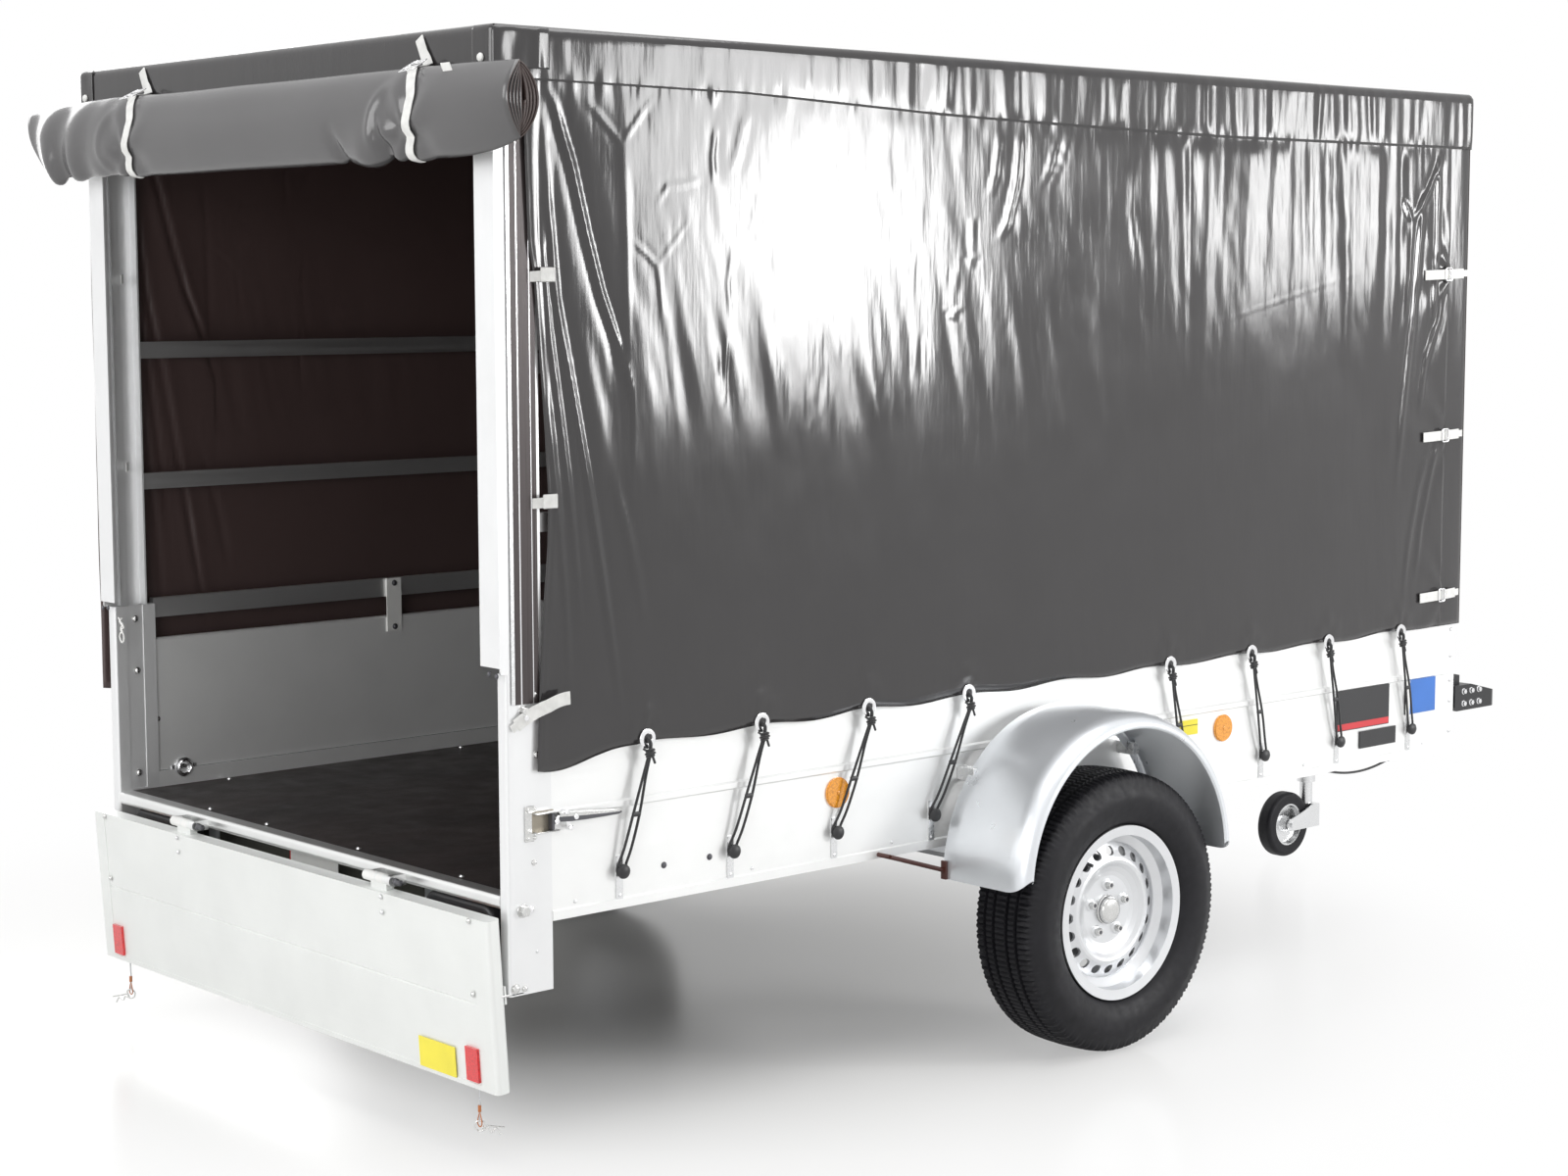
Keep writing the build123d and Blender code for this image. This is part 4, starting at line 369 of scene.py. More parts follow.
# ---- mesh helpers ---------------------------------------------------------------------------------
class Shape:
    """Collects closed mesh parts, each with a material, and makes one object of them."""

    def __init__(self, name):
        self.name = name
        self.points = []
        self.faces = []
        self.kinds = []
        self.finishes = []

    def add(self, points, faces, finish):
        """Takes in one closed part."""
        if finish not in self.finishes:
            self.finishes.append(finish)
        start = len(self.points)
        self.points.extend(tuple(point) for point in points)
        self.faces.extend(tuple(start + index for index in face) for face in faces)
        self.kinds.extend([self.finishes.index(finish)] * len(faces))

    def rings(self, rings, finish, loop=False):
        """Closed skin through rings of equally many points; loop joins the last ring to the first."""
        count = len(rings[0])
        points = [point for ring in rings for point in ring]
        faces = []
        for i in range(len(rings) if loop else len(rings) - 1):
            a = i * count
            b = (i + 1) % len(rings) * count
            for j in range(count):
                k = (j + 1) % count
                faces.append((a + j, a + k, b + k, b + j))
        if not loop:
            faces.append(tuple(reversed(range(count))))
            faces.append(tuple(range(len(points) - count, len(points))))
        self.add(points, faces, finish)

    def lathe(self, origin, axis, profile, finish, sides=16):
        """(distance along axis, radius) profile turned about the axis."""
        turn = UP.rotation_difference(Vector(axis)).to_matrix()
        rings = []
        angles = [tau * index / sides for index in range(sides)]
        for along, radius in profile:
            outline = [Vector((radius * cos(angle), radius * sin(angle), along)) for angle in angles]
            rings.append([Vector(origin) + turn @ point for point in outline])
        self.rings(rings, finish)

    def slab(self, low, high, finish, round_off=0.0015, frame_of=None):
        """Box with chamfered edges between two opposite corners, in a local frame if one is given."""
        local = frame_of or Matrix.Identity(4)
        low, high = zip(*(sorted(pair) for pair in zip(low, high)))
        cut = min(round_off, min(b - a for a, b in zip(low, high)) * 0.45)
        levels = [low[2], low[2] + cut, high[2] - cut, high[2]]
        rings = []
        for level, grow in zip(levels, [cut, 0, 0, cut]):
            x0, x1, y0, y1 = low[0] + grow, high[0] - grow, low[1] + grow, high[1] - grow
            corner = cut * 0.8
            outline = [
                (x0 + corner, y0), (x1 - corner, y0), (x1, y0 + corner), (x1, y1 - corner),
                (x1 - corner, y1), (x0 + corner, y1), (x0, y1 - corner), (x0, y0 + corner),
            ]
            rings.append([local @ Vector((x, y, level)) for x, y in outline])
        self.rings(rings, finish)

    def sweep(self, path, width, height, finish, up=(0, 0, 1), sides=8, power=2.0, loop=False):
        """Band or bar of an oval section along a path; up keeps the section from turning."""
        path = [Vector(point) for point in path]
        outline = []
        for step in range(sides):
            angle = tau * (step + 0.5) / sides
            a = abs(cos(angle)) ** (2 / power) * (1 if cos(angle) > 0 else -1)
            b = abs(sin(angle)) ** (2 / power) * (1 if sin(angle) > 0 else -1)
            outline.append((a * width / 2, b * height / 2))
        rings = []
        for index, point in enumerate(path):
            before = path[index - 1] if index > 0 or loop else point
            after = path[(index + 1) % len(path)] if index < len(path) - 1 or loop else point
            along = (after - before).normalized()
            side = along.cross(Vector(up))
            if side.length < 1e-6:
                side = along.orthogonal()
            side.normalize()
            lift = side.cross(along).normalized()
            rings.append([point + side * a + lift * b for a, b in outline])
        self.rings(rings, finish, loop=loop)

    def wire(self, path, thick, finish, **settings):
        """Round bar or cord along a path."""
        self.sweep(path, thick, thick, finish, **settings)

    def band(self, path, thick=0.0022, wide=0.025, up=(0, 0, 1)):
        """White webbing along a path."""
        self.sweep(path, thick, wide, STRAP, up=up, sides=12, power=6.0)

    def build(self, body):
        """One object of all the parts, on its body and in its material slot."""
        mesh = bpy.data.meshes.new(self.name)
        mesh.from_pydata(self.points, [], self.faces)
        for finish in self.finishes:
            mesh.materials.append(finish)
        mesh.polygons.foreach_set("material_index", self.kinds)
        mesh.update()
        fix = bmesh.new()
        fix.from_mesh(mesh)
        bmesh.ops.recalc_face_normals(fix, faces=fix.faces)
        fix.to_mesh(mesh)
        fix.free()
        mesh.shade_smooth()
        mesh.set_sharp_from_angle(angle=radians(35))
        made = show(self.name, mesh)
        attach(made, body)
        return made


def finish_cloth(name, mesh, finishes, thickness=CLOTH):
    """Thickens a one-sided mesh to a closed sheet, its two faces in two finishes."""
    for finish in finishes:
        mesh.materials.append(finish)
    fix = bmesh.new()
    fix.from_mesh(mesh)
    bmesh.ops.remove_doubles(fix, verts=fix.verts, dist=0.00005)
    fix.to_mesh(mesh)
    fix.free()
    made = show(name, mesh)
    solid = made.modifiers.new("thickness", "SOLIDIFY")
    solid.thickness = thickness
    solid.offset = 0.0
    solid.material_offset = 1
    ready = bpy.data.meshes.new_from_object(made.evaluated_get(bpy.context.evaluated_depsgraph_get()))
    made.modifiers.clear()
    made.data = ready
    ready.name = name
    ready.shade_smooth()
    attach(made, "chassis")
    return made


def grid_faces(rows, across):
    """Faces of a grid of points, rows of so many points each."""
    spots = [i * across + j for i in range(rows - 1) for j in range(across - 1)]
    return [(a, a + 1, a + across + 1, a + across) for a in spots]


def cloth(name, grid, finishes, thickness=CLOTH):
    """Closed thin sheet through a grid of points."""
    mesh = bpy.data.meshes.new(name)
    points = [tuple(point) for row in grid for point in row]
    mesh.from_pydata(points, [], grid_faces(len(grid), len(grid[0])))
    return finish_cloth(name, mesh, finishes, thickness)


# ---- tarpaulin ------------------------------------------------------------------------------------
def wave(x, z, seed, across, down):
    """Smooth noise from -1 to 1, with its own scale along the trailer and upright."""
    return noise.noise(Vector((x * across, z * down, seed)))


WAVES = np.vectorize(wave, otypes=[float])


def ridge(distance, width):
    """Rounded ridge, 1 on its crest."""
    return np.exp(-((distance / width) ** 2))


def crease(x, z, path, height, width):
    """Fold along a run of points: a rounded crest between two hollows, fading at both ends."""
    nearest = np.full(np.shape(x), 9.0)
    along = np.zeros(np.shape(x))
    run = 0.0
    for (ax, az), (bx, bz) in zip(path, path[1:]):
        length = hypot(bx - ax, bz - az)
        share = np.clip(((x - ax) * (bx - ax) + (z - az) * (bz - az)) / length**2, 0, 1)
        away = np.hypot(x - ax - share * (bx - ax), z - az - share * (bz - az))
        closer = away < nearest
        nearest = np.where(closer, away, nearest)
        along = np.where(closer, run + share * length, along)
        run += length
    ends = np.clip(4 * along / run, 0, 1) * np.clip(4 * (1 - along / run), 0, 1)
    return height * ends * (ridge(nearest, width) - 0.4 * ridge(nearest, 2.6 * width))


REAR_RIDGE = [
    (0.095, 2.085), (0.121, 2.039), (0.163, 1.921), (0.197, 1.793),
    (0.231, 1.681), (0.268, 1.590), (0.300, 1.480),
]
CREASES = [
    # the long ridge out of the rear top corner and the bundle of folds along the rear edge
    (REAR_RIDGE, 0.0075, 0.0085),
    ([(0.098, 2.02), (0.108, 1.85), (0.125, 1.68), (0.158, 1.51), (0.186, 1.36), (0.218, 1.19),
      (0.247, 1.015), (0.276, 0.84)], 0.0060, 0.0080),
    ([(0.092, 1.97), (0.098, 1.76), (0.114, 1.58), (0.138, 1.40), (0.160, 1.22), (0.180, 1.02)],
     0.0038, 0.0055),
    ([(0.104, 1.93), (0.116, 1.72), (0.140, 1.55), (0.166, 1.38), (0.190, 1.24)], 0.0030, 0.0045),
    ([(0.096, 1.55), (0.106, 1.42), (0.122, 1.28), (0.140, 1.08), (0.150, 0.90)], 0.0032, 0.0060),
    ([(0.250, 1.34), (0.300, 1.18), (0.335, 1.02)], 0.0022, 0.0110),
    # V-shaped buckles with the fold that hangs from each
    ([(0.192, 2.050), (0.240, 2.008), (0.283, 1.966)], 0.0012, 0.0064),
    ([(0.366, 2.068), (0.325, 2.022), (0.281, 1.968)], 0.0008, 0.0062),
    ([(0.281, 1.985), (0.288, 1.86), (0.292, 1.72), (0.292, 1.56)], 0.0010, 0.0100),
    ([(0.305, 1.782), (0.340, 1.757), (0.368, 1.732)], 0.0010, 0.0048),
    ([(0.448, 1.824), (0.410, 1.782), (0.366, 1.734)], 0.0006, 0.0048),
    ([(0.366, 1.748), (0.373, 1.70), (0.380, 1.63)], 0.0008, 0.0062),
    ([(0.366, 1.856), (0.392, 1.888), (0.430, 1.894), (0.480, 1.902)], 0.0009, 0.0060),
    ([(0.520, 2.02), (0.508, 1.95), (0.512, 1.89)], 0.0014, 0.0072),
    ([(0.600, 2.05), (0.580, 1.98), (0.560, 1.92)], 0.0019, 0.0096),
    ([(0.640, 1.90), (0.622, 1.84), (0.604, 1.79)], 0.0010, 0.0054),
    ([(0.662, 1.89), (0.644, 1.83), (0.626, 1.78)], 0.0009, 0.0054),
    ([(0.560, 1.78), (0.548, 1.70), (0.556, 1.62)], 0.0010, 0.0066),
    ([(0.870, 1.98), (0.846, 1.92), (0.832, 1.86)], 0.0009, 0.0058),
    ([(0.896, 1.97), (0.872, 1.91), (0.856, 1.86)], 0.0009, 0.0054),
    # leaning folds on both sides of the middle
    ([(1.395, 2.045), (1.384, 1.93), (1.352, 1.83), (1.322, 1.79)], 0.0040, 0.0085),
    ([(1.330, 2.040), (1.318, 1.95), (1.296, 1.88)], 0.0026, 0.0070),
    ([(1.520, 2.035), (1.494, 1.97), (1.462, 1.91)], 0.0020, 0.0060),
    ([(1.545, 2.030), (1.520, 1.96), (1.490, 1.90)], 0.0018, 0.0050),
    ([(1.765, 1.98), (1.760, 1.86), (1.786, 1.72)], 0.0018, 0.0095),
    ([(1.330, 1.64), (1.345, 1.57), (1.338, 1.50)], 0.0004, 0.0050),
    # front corner: long folds beside the edge and one V
    ([(2.947, 2.10), (2.943, 1.90), (2.940, 1.744), (2.930, 1.55)], 0.0052, 0.0085),
    ([(2.890, 1.99), (2.864, 1.80), (2.846, 1.60), (2.816, 1.38), (2.790, 1.16)], 0.0044, 0.0110),
    ([(2.790, 1.910), (2.812, 1.878), (2.832, 1.850)], 0.0038, 0.0070),
    ([(2.958, 2.020), (2.900, 1.930), (2.832, 1.852)], 0.0050, 0.0085),
    ([(2.832, 1.860), (2.826, 1.74), (2.815, 1.58)], 0.0036, 0.0080),
    ([(2.975, 1.68), (2.955, 1.60), (2.905, 1.50), (2.880, 1.36)], 0.0044, 0.0080),
    ([(2.978, 1.33), (2.945, 1.22), (2.905, 1.08), (2.880, 0.93)], 0.0036, 0.0080),
    ([(2.940, 1.30), (2.890, 1.18), (2.850, 1.02), (2.830, 0.88)], 0.0026, 0.0090),
    # creases pressed in while the sheet was packed
    ([(1.960, 1.582), (2.300, 1.655), (2.740, 1.750)], 0.00022, 0.0040),
    ([(1.500, 1.497), (2.100, 1.460), (2.720, 1.424)], 0.00018, 0.0040),
]
# arrowheads along the lower edge of the drape: a stem and two barbs at each tip
TIPS = [(0.540, 1.490), (0.782, 1.421), (0.961, 1.425), (1.074, 1.503), (1.185, 1.624), (1.239, 1.739)]
STROKES = [
    ([(0.004, 0.105), (0.0, 0.045), (0.0, -0.010)], 0.0024, 0.0048),
    ([(-0.020, 0.026), (-0.008, 0.010), (0.002, -0.006)], 0.0016, 0.0042),
    ([(0.020, 0.026), (0.008, 0.010), (-0.002, -0.006)], 0.0016, 0.0042),
]
for tip_x, tip_z in TIPS:
    for stroke, height, width in STROKES:
        CREASES.append(([(tip_x + dx, tip_z + dz) for dx, dz in stroke], height, width))


def seam_height(x):
    """Height of the skirt's stitched lower edge along the sides."""
    return np.interp(x, [0.1, 0.6, 1.15, 1.45, 2.1, 2.95], [2.080, 2.077, 2.055, 2.048, 2.038, 2.040])


def hem_height(x, seed):
    """Lower edge of a side panel: a droop at the rear corner and shallow bows between the ties."""
    droop = 0.030 * exp(-(((x - 0.13) / 0.085) ** 2))
    slope = 0.012 * min(1.0, x / BOX_FRONT)
    bow = 0.0
    if 0.33 < x < 2.83:
        bow = 0.004 * cos((x - TIES[0]) / TIE_PITCH * tau)
    return HEM + 0.020 + slope - droop + bow + 0.003 * wave(x, 0, seed, 6.0, 0)


def seam_pucker(x, seed):
    """Small puckers of the stitched seam, shared by the skirt and the panel under it."""
    return 0.0016 * WAVES(x, 0, seed + 15, 40.0, 0) + 0.0009 * WAVES(x, 0, seed + 16, 85.0, 0)


def side_fold(x, z, seed):
    """How far a side panel stands out at each point, from its folds, flutes and puckers."""
    seam = seam_height(x)
    drop = np.maximum(0.0, seam - z)
    front = np.clip((x - 1.25) / 0.75, 0, 1)
    lean = 0.12 * drop * WAVES(x, 0, seed + 9, 3.0, 0)
    reach = 0.12 + 0.30 * front + 0.13 * WAVES(x, 0, seed + 3, 3.1, 0)
    strength = np.exp(-((drop / np.maximum(0.07, reach)) ** 1.7))
    flutes = WAVES(x + lean, z, seed, 19.0, 0.8) + 0.42 * WAVES(x + lean, z, seed + 1, 40.0, 1.5)
    sharp = (1 - np.abs(WAVES(x + lean * 0.7, z, seed + 12, 9.0, 0.6)) * 2.2).clip(0, 1) ** 2
    out = (0.0011 + 0.0019 * front) * strength * flutes + 0.0018 * front * strength * sharp
    # scalloped drape across the middle of the rear half
    scallop = ridge(z - 1.50 + 0.04 * np.sin(9 * x), 0.15) * (1 - front)
    out += 0.0030 * scallop * WAVES(x + 0.16 * (z - 1.5), z, seed + 13, 15.0, 0.9)
    out += 0.0012 * scallop * WAVES(x + 0.22 * (z - 1.5), z, seed + 14, 31.0, 2.4)
    # soft unevenness of the whole panel, and its fine crinkles
    out += 0.0036 * WAVES(x, z, seed + 5, 1.7, 1.4) + 0.0013 * WAVES(x, z, seed + 6, 5.0, 3.8)
    out += 0.00032 * WAVES(x + 0.3 * z, z, seed + 4, 31.0, 10.0)
    # the rear corner: the sheet falls in behind its long ridge
    share = np.clip((2.09 - z) / 0.6, 0, 1)
    line = np.interp(-z, [-point[1] for point in REAR_RIDGE], [point[0] for point in REAR_RIDGE])
    fall = 0.0055 * np.clip(share * 5, 0, 1) * (1 - np.clip((1.62 - z) / 0.30, 0, 1))
    out -= fall * np.clip((0.292 - x) / np.maximum(0.02, 0.292 - line), 0, 1) * (x >= line)
    out -= (fall + 0.0035 * share * np.clip((line - x) / 0.10, 0, 1)) * (x < line)
    out -= 0.0030 * np.clip((1.62 - z) / 0.3, 0, 1) * np.clip((0.20 - x) / 0.10, 0, 1)
    for path, height, width in CREASES:
        out += crease(x, z, path, height, width)
    at_seam = np.exp(-((np.maximum(0.0, seam - z) / 0.028) ** 1.5))
    out = out * (1 - at_seam) + seam_pucker(x, seed) * at_seam
    # stars of small folds round the front straps
    edge = PANEL_FRONT - x
    for strap_z in FRONT_STRAPS:
        away = np.hypot(z - strap_z, edge)
        angle = np.arctan2(z - strap_z, edge + 0.02)
        out += 0.0030 * np.exp(-away / 0.075) * np.cos(9 * angle) * (edge < 0.30)
    # puckers round the eyelets
    for tie_x in TIES:
        dx = x - tie_x
        dz = z - EYELET_Z
        away = np.hypot(dx, dz)
        angle = np.arctan2(dx, dz + 1e-6)
        near = (away < 0.20).astype(float)
        out += 0.0020 * near * np.exp(-away / 0.040) * np.cos(7 * angle)
        out += 0.0038 * near * ridge(away - 0.046, 0.011) * np.clip(np.cos(angle), 0, 1) ** 2
    return out


def spread_evenly(low, high, count, dense):
    """count + 1 places from low to high, closer together where dense(place) is larger."""
    fine = np.linspace(low, high, 2000)
    weight = np.cumsum([dense(value) for value in fine])
    weight = (weight - weight[0]) / (weight[-1] - weight[0])
    return np.interp(np.linspace(0, 1, count + 1), weight, fine)


def side_panel(side):
    """One side of the tarpaulin, from under the skirt down to its hem."""
    seed = SEEDS[side]
    columns = spread_evenly(0.0, 1.0, 340, lambda at: 2.2 if at < 0.16 else 1.0 + 0.5 * (at > 0.92))
    levels = spread_evenly(0.0, 1.0, 126, lambda at: 2.2 if at > 0.60 else 0.8)
    x = np.zeros((len(levels), len(columns)))
    z = np.zeros((len(levels), len(columns)))
    for j, share in enumerate(columns):
        along = PANEL_REAR + (PANEL_FRONT - PANEL_REAR) * share
        low = hem_height(along, seed)
        top = float(seam_height(along)) + PANEL_LAP
        for i, level in enumerate(levels):
            z[i, j] = low + (top - low) * level
            edge = np.interp(z[i, j], *REAR_EDGE)
            if side > 0:
                edge = -0.006 + 0.004 * wave(0, z[i, j], seed, 0, 4.0)
            x[i, j] = along + (edge - PANEL_REAR) * max(0.0, 1 - share * 22)
    out = COVER_OUT - 0.0018 + side_fold(x, z, seed)
    if side > 0:
        out += 0.0110 * ridge(x + 0.006, 0.045) * np.clip((2.03 - z) / 0.15, 0, 1)
    # the edge folded over to a hem, with two lines of stitching
    back = x - x[:, :1]
    hem = 1 / (1 + np.exp(np.clip((back - 0.026) / 0.0015, -60, 60)))
    out += 0.0012 * hem - 0.0010 * ridge(back - 0.022, 0.0020) - 0.0012 * ridge(back - 0.008, 0.0025)
    out = np.maximum(out, PANEL_LEAST)
    grid = [[place(*spot) for spot in zip(*row)] for row in zip(x, side * out, z)]
    return cloth("tarpaulin_side_" + HAND[side], grid, [PVC, PVC_IN][::-side])


def skirt_flutes(x, s, z, seed):
    """Flutes of the skirt, gathered towards its stitched edge and stronger past the middle."""
    swing = 0.30 + 0.70 * min(1.0, max(0.0, (x - 0.70) / 0.5))
    swing *= 0.75 + 0.5 * wave(s, 0, seed + 8, 1.6, 0)
    lean = 0.25 * (ROOF - z) * wave(s, 0, seed + 9, 4.0, 0)
    flutes = wave(s + lean, z, seed, 19.0, 1.5) + 0.5 * wave(s + lean, z, seed + 1, 44.0, 2.5)
    sharp = max(0.0, 1 - 2.4 * abs(wave(s + lean, z, seed + 4, 12.0, 0.8))) ** 2
    return swing * (0.0030 * flutes + 0.0024 * sharp) + 0.0008 * wave(s, z, seed + 2, 3.0, 1.0)


def roof_sheet():
    """Roof of the tarpaulin with its skirt, turned down all the way round."""
    across = 60
    along = 340
    ring = 0.011
    length = COVER_FRONT - COVER_BACK - 2 * ring
    grid_x = [COVER_BACK + ring + length * i / along for i in range(along + 1)]
    grid_y = [-COVER_OUT + ring + 2 * (COVER_OUT - ring) * j / across for j in range(across + 1)]
    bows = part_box("roof_bows")
    pitch = (bows[1].x - bows[0].x - 0.03) / 3

    def top(x, y):
        """Height of the sheet, slack between the bows."""
        phase = (REAR + x - bows[0].x - 0.015) / pitch
        bay = sin(pi * (phase - int(phase))) if 0 <= phase <= 3 else 0.0
        side = 1 - (abs(y) / COVER_OUT) ** 4
        return ROOF - 0.0012 - 0.010 * bay * bay * side + 0.0012 * wave(x, y, 5.0, 7.0, 7.0) * side * bay

    wide = along + 1
    points = [place(x, y, top(x, y)) for y in grid_y for x in grid_x]
    faces = grid_faces(across + 1, wide)
    # the border's points with the way out at each, starting at the rear right corner
    border = [(i, x, grid_y[0], (0, -1)) for i, x in enumerate(grid_x)]
    border += [(j * wide + along, grid_x[-1], y, (1, 0)) for j, y in enumerate(grid_y)]
    border += [(across * wide + i, grid_x[i], grid_y[-1], (0, 1)) for i in range(along, -1, -1)]
    border += [(j * wide, grid_x[0], grid_y[j], (-1, 0)) for j in range(across, -1, -1)]
    steps = [0.003, 0.010, 0.020, 0.032, 0.046, 0.060, 0.074, 0.088, 0.098, 0.106, 0.112, 0.118]
    columns = []
    round_edge = 0.0
    previous = border[0][1:3]
    for index, x, y, way in border:
        round_edge += hypot(x - previous[0], y - previous[1])
        previous = (x, y)
        skirt = REAR_SKIRT if way[0] < 0 else ROOF - float(seam_height(x))
        column = [index]
        for step in steps:
            depth = step * skirt / steps[-1]
            z = ROOF - depth - 0.0012
            out = ring * sin(pi / 2 * min(1.0, depth / ring))
            flute = skirt_flutes(x, round_edge, z, 3.0) * min(1.0, depth / 0.025)
            if way[0] < 0:
                flute *= 0.30
            elif way[0] == 0:
                at_seam = exp(-((skirt - depth) / 0.020) ** 1.5) if depth < skirt else 1.0
                pucker = float(seam_pucker(x, SEEDS[way[1]])) - 0.0002
                flute = flute * (1 - at_seam) + pucker * at_seam
            column.append(len(points))
            points.append(place(x + way[0] * (out + flute), y + way[1] * (out + flute), z))
        columns.append(column)
    for here, after in zip(columns, columns[1:] + columns[:1]):
        for r in range(len(steps)):
            # at a corner both columns start at one point, which leaves a triangle
            face = tuple(dict.fromkeys((here[r], here[r + 1], after[r + 1], after[r])))
            if len(face) > 2:
                faces.append(face)
    mesh = bpy.data.meshes.new("tarpaulin_roof")
    mesh.from_pydata(points, [], faces)
    return finish_cloth("tarpaulin_roof", mesh, [PVC, PVC_IN])


def front_panel():
    """Front of the tarpaulin with the strips that wrap round both front corners."""
    seed = 83.0
    rows = 84
    columns = 190
    ring = 0.012
    wrap = COVER_FRONT - PANEL_FRONT + 0.030
    total = 2 * (wrap + COVER_OUT)
    top = float(seam_height(COVER_FRONT)) + PANEL_LAP

    def point(i, j):
        """Point of the sheet by its row and its place round the front, from right to left."""
        s = total * j / columns
        low = HEM + 0.030 + 0.003 * wave(s, 0, seed, 5.0, 0)
        z = low + (top - low) * i / rows
        if s < wrap:
            x, y, way = COVER_FRONT - wrap + s, -COVER_OUT, (0, -1)
        elif s > total - wrap:
            x, y, way = COVER_FRONT - (s - total + wrap), COVER_OUT, (0, 1)
        else:
            x, y, way = COVER_FRONT, s - wrap - COVER_OUT, (1, 0)
        corner = min(abs(s - wrap), abs(s - total + wrap))
        inward = 0.0030 + ring * 0.3 * (1 - min(1.0, corner / ring)) + (0.0045 if way[0] == 0 else 0.0)
        drop = max(0.0, top - PANEL_LAP - z)
        flutes = wave(s, z, seed, 18.0, 1.0) + 0.5 * wave(s, z, seed + 1, 38.0, 1.8)
        out = 0.0030 * exp(-((drop / 0.30) ** 1.5)) * flutes
        out += 0.0035 * wave(s, z, seed + 5, 1.8, 1.6) + 0.0013 * wave(s, z, seed + 6, 4.4, 3.2)
        out *= min(1.0, corner / 0.05)
        for tie_y in front_tie_rows():
            away = hypot(y - tie_y, z - EYELET_Z) if way[0] else 1.0
            out += 0.0022 * exp(-away / 0.045) * cos(7 * atan2(y - tie_y, z - EYELET_Z))
        out -= inward
        return place(x + way[0] * out, y + way[1] * out, z)

    grid = [[point(i, j) for j in range(columns + 1)] for i in range(rows + 1)]
    return cloth("tarpaulin_front", grid, [PVC, PVC_IN])


def corner_boxes():
    """Doubled corner patches of the roof sheet, round both rear corners."""
    made = []
    rows = 20
    columns = 44
    bend_at = 0.062
    for side in (-1, 1):
        grid = []
        for i in range(rows + 1):
            depth = 0.002 + REAR_SKIRT * i / rows
            z = ROOF - depth
            row = []
            for j in range(columns + 1):
                s = 0.190 * j / columns
                lap = 0.0016 * wave(s, z, 91.0 + side, 30.0, 12.0) + 0.0024 * ridge(s - 0.163, 0.012)
                bend = 0.0075 * (1 - sin(pi / 2 * min(1.0, depth / 0.012)))
                out = 0.0026 + lap - bend - 0.003 * max(0.0, 1 - abs(s - bend_at) / 0.010)
                if s < bend_at:
                    row.append(place(COVER_BACK - out, side * (COVER_OUT - bend_at + s), z))
                else:
                    row.append(place(COVER_BACK + s - bend_at, side * (COVER_OUT + out), z))
            grid.append(row)
        made.append(cloth("corner_box_" + HAND[side], grid, [PVC, PVC_IN][::side], 0.0016))
    return made


def roll_middle(y):
    """Middle of the rolled flap at a place across, and how far into its left and right end that is."""
    low_x, high_x = ROLL_LOW.x - REAR, ROLL_HIGH.x - REAR
    left = max(0.0, (y - 0.55) / 0.38)
    right = max(0.0, (-y - 0.72) / 0.22)
    x = (low_x + high_x) / 2 + 0.003 * wave(y, 0, 2.0, 3.0, 0)
    z = (ROLL_LOW.z + ROLL_HIGH.z) / 2 - 0.006 - 0.012 * left**1.5 + 0.012 * min(1.0, right) ** 3
    return x, z + 0.003 * wave(y, 1, 4.0, 2.5, 0), left, right


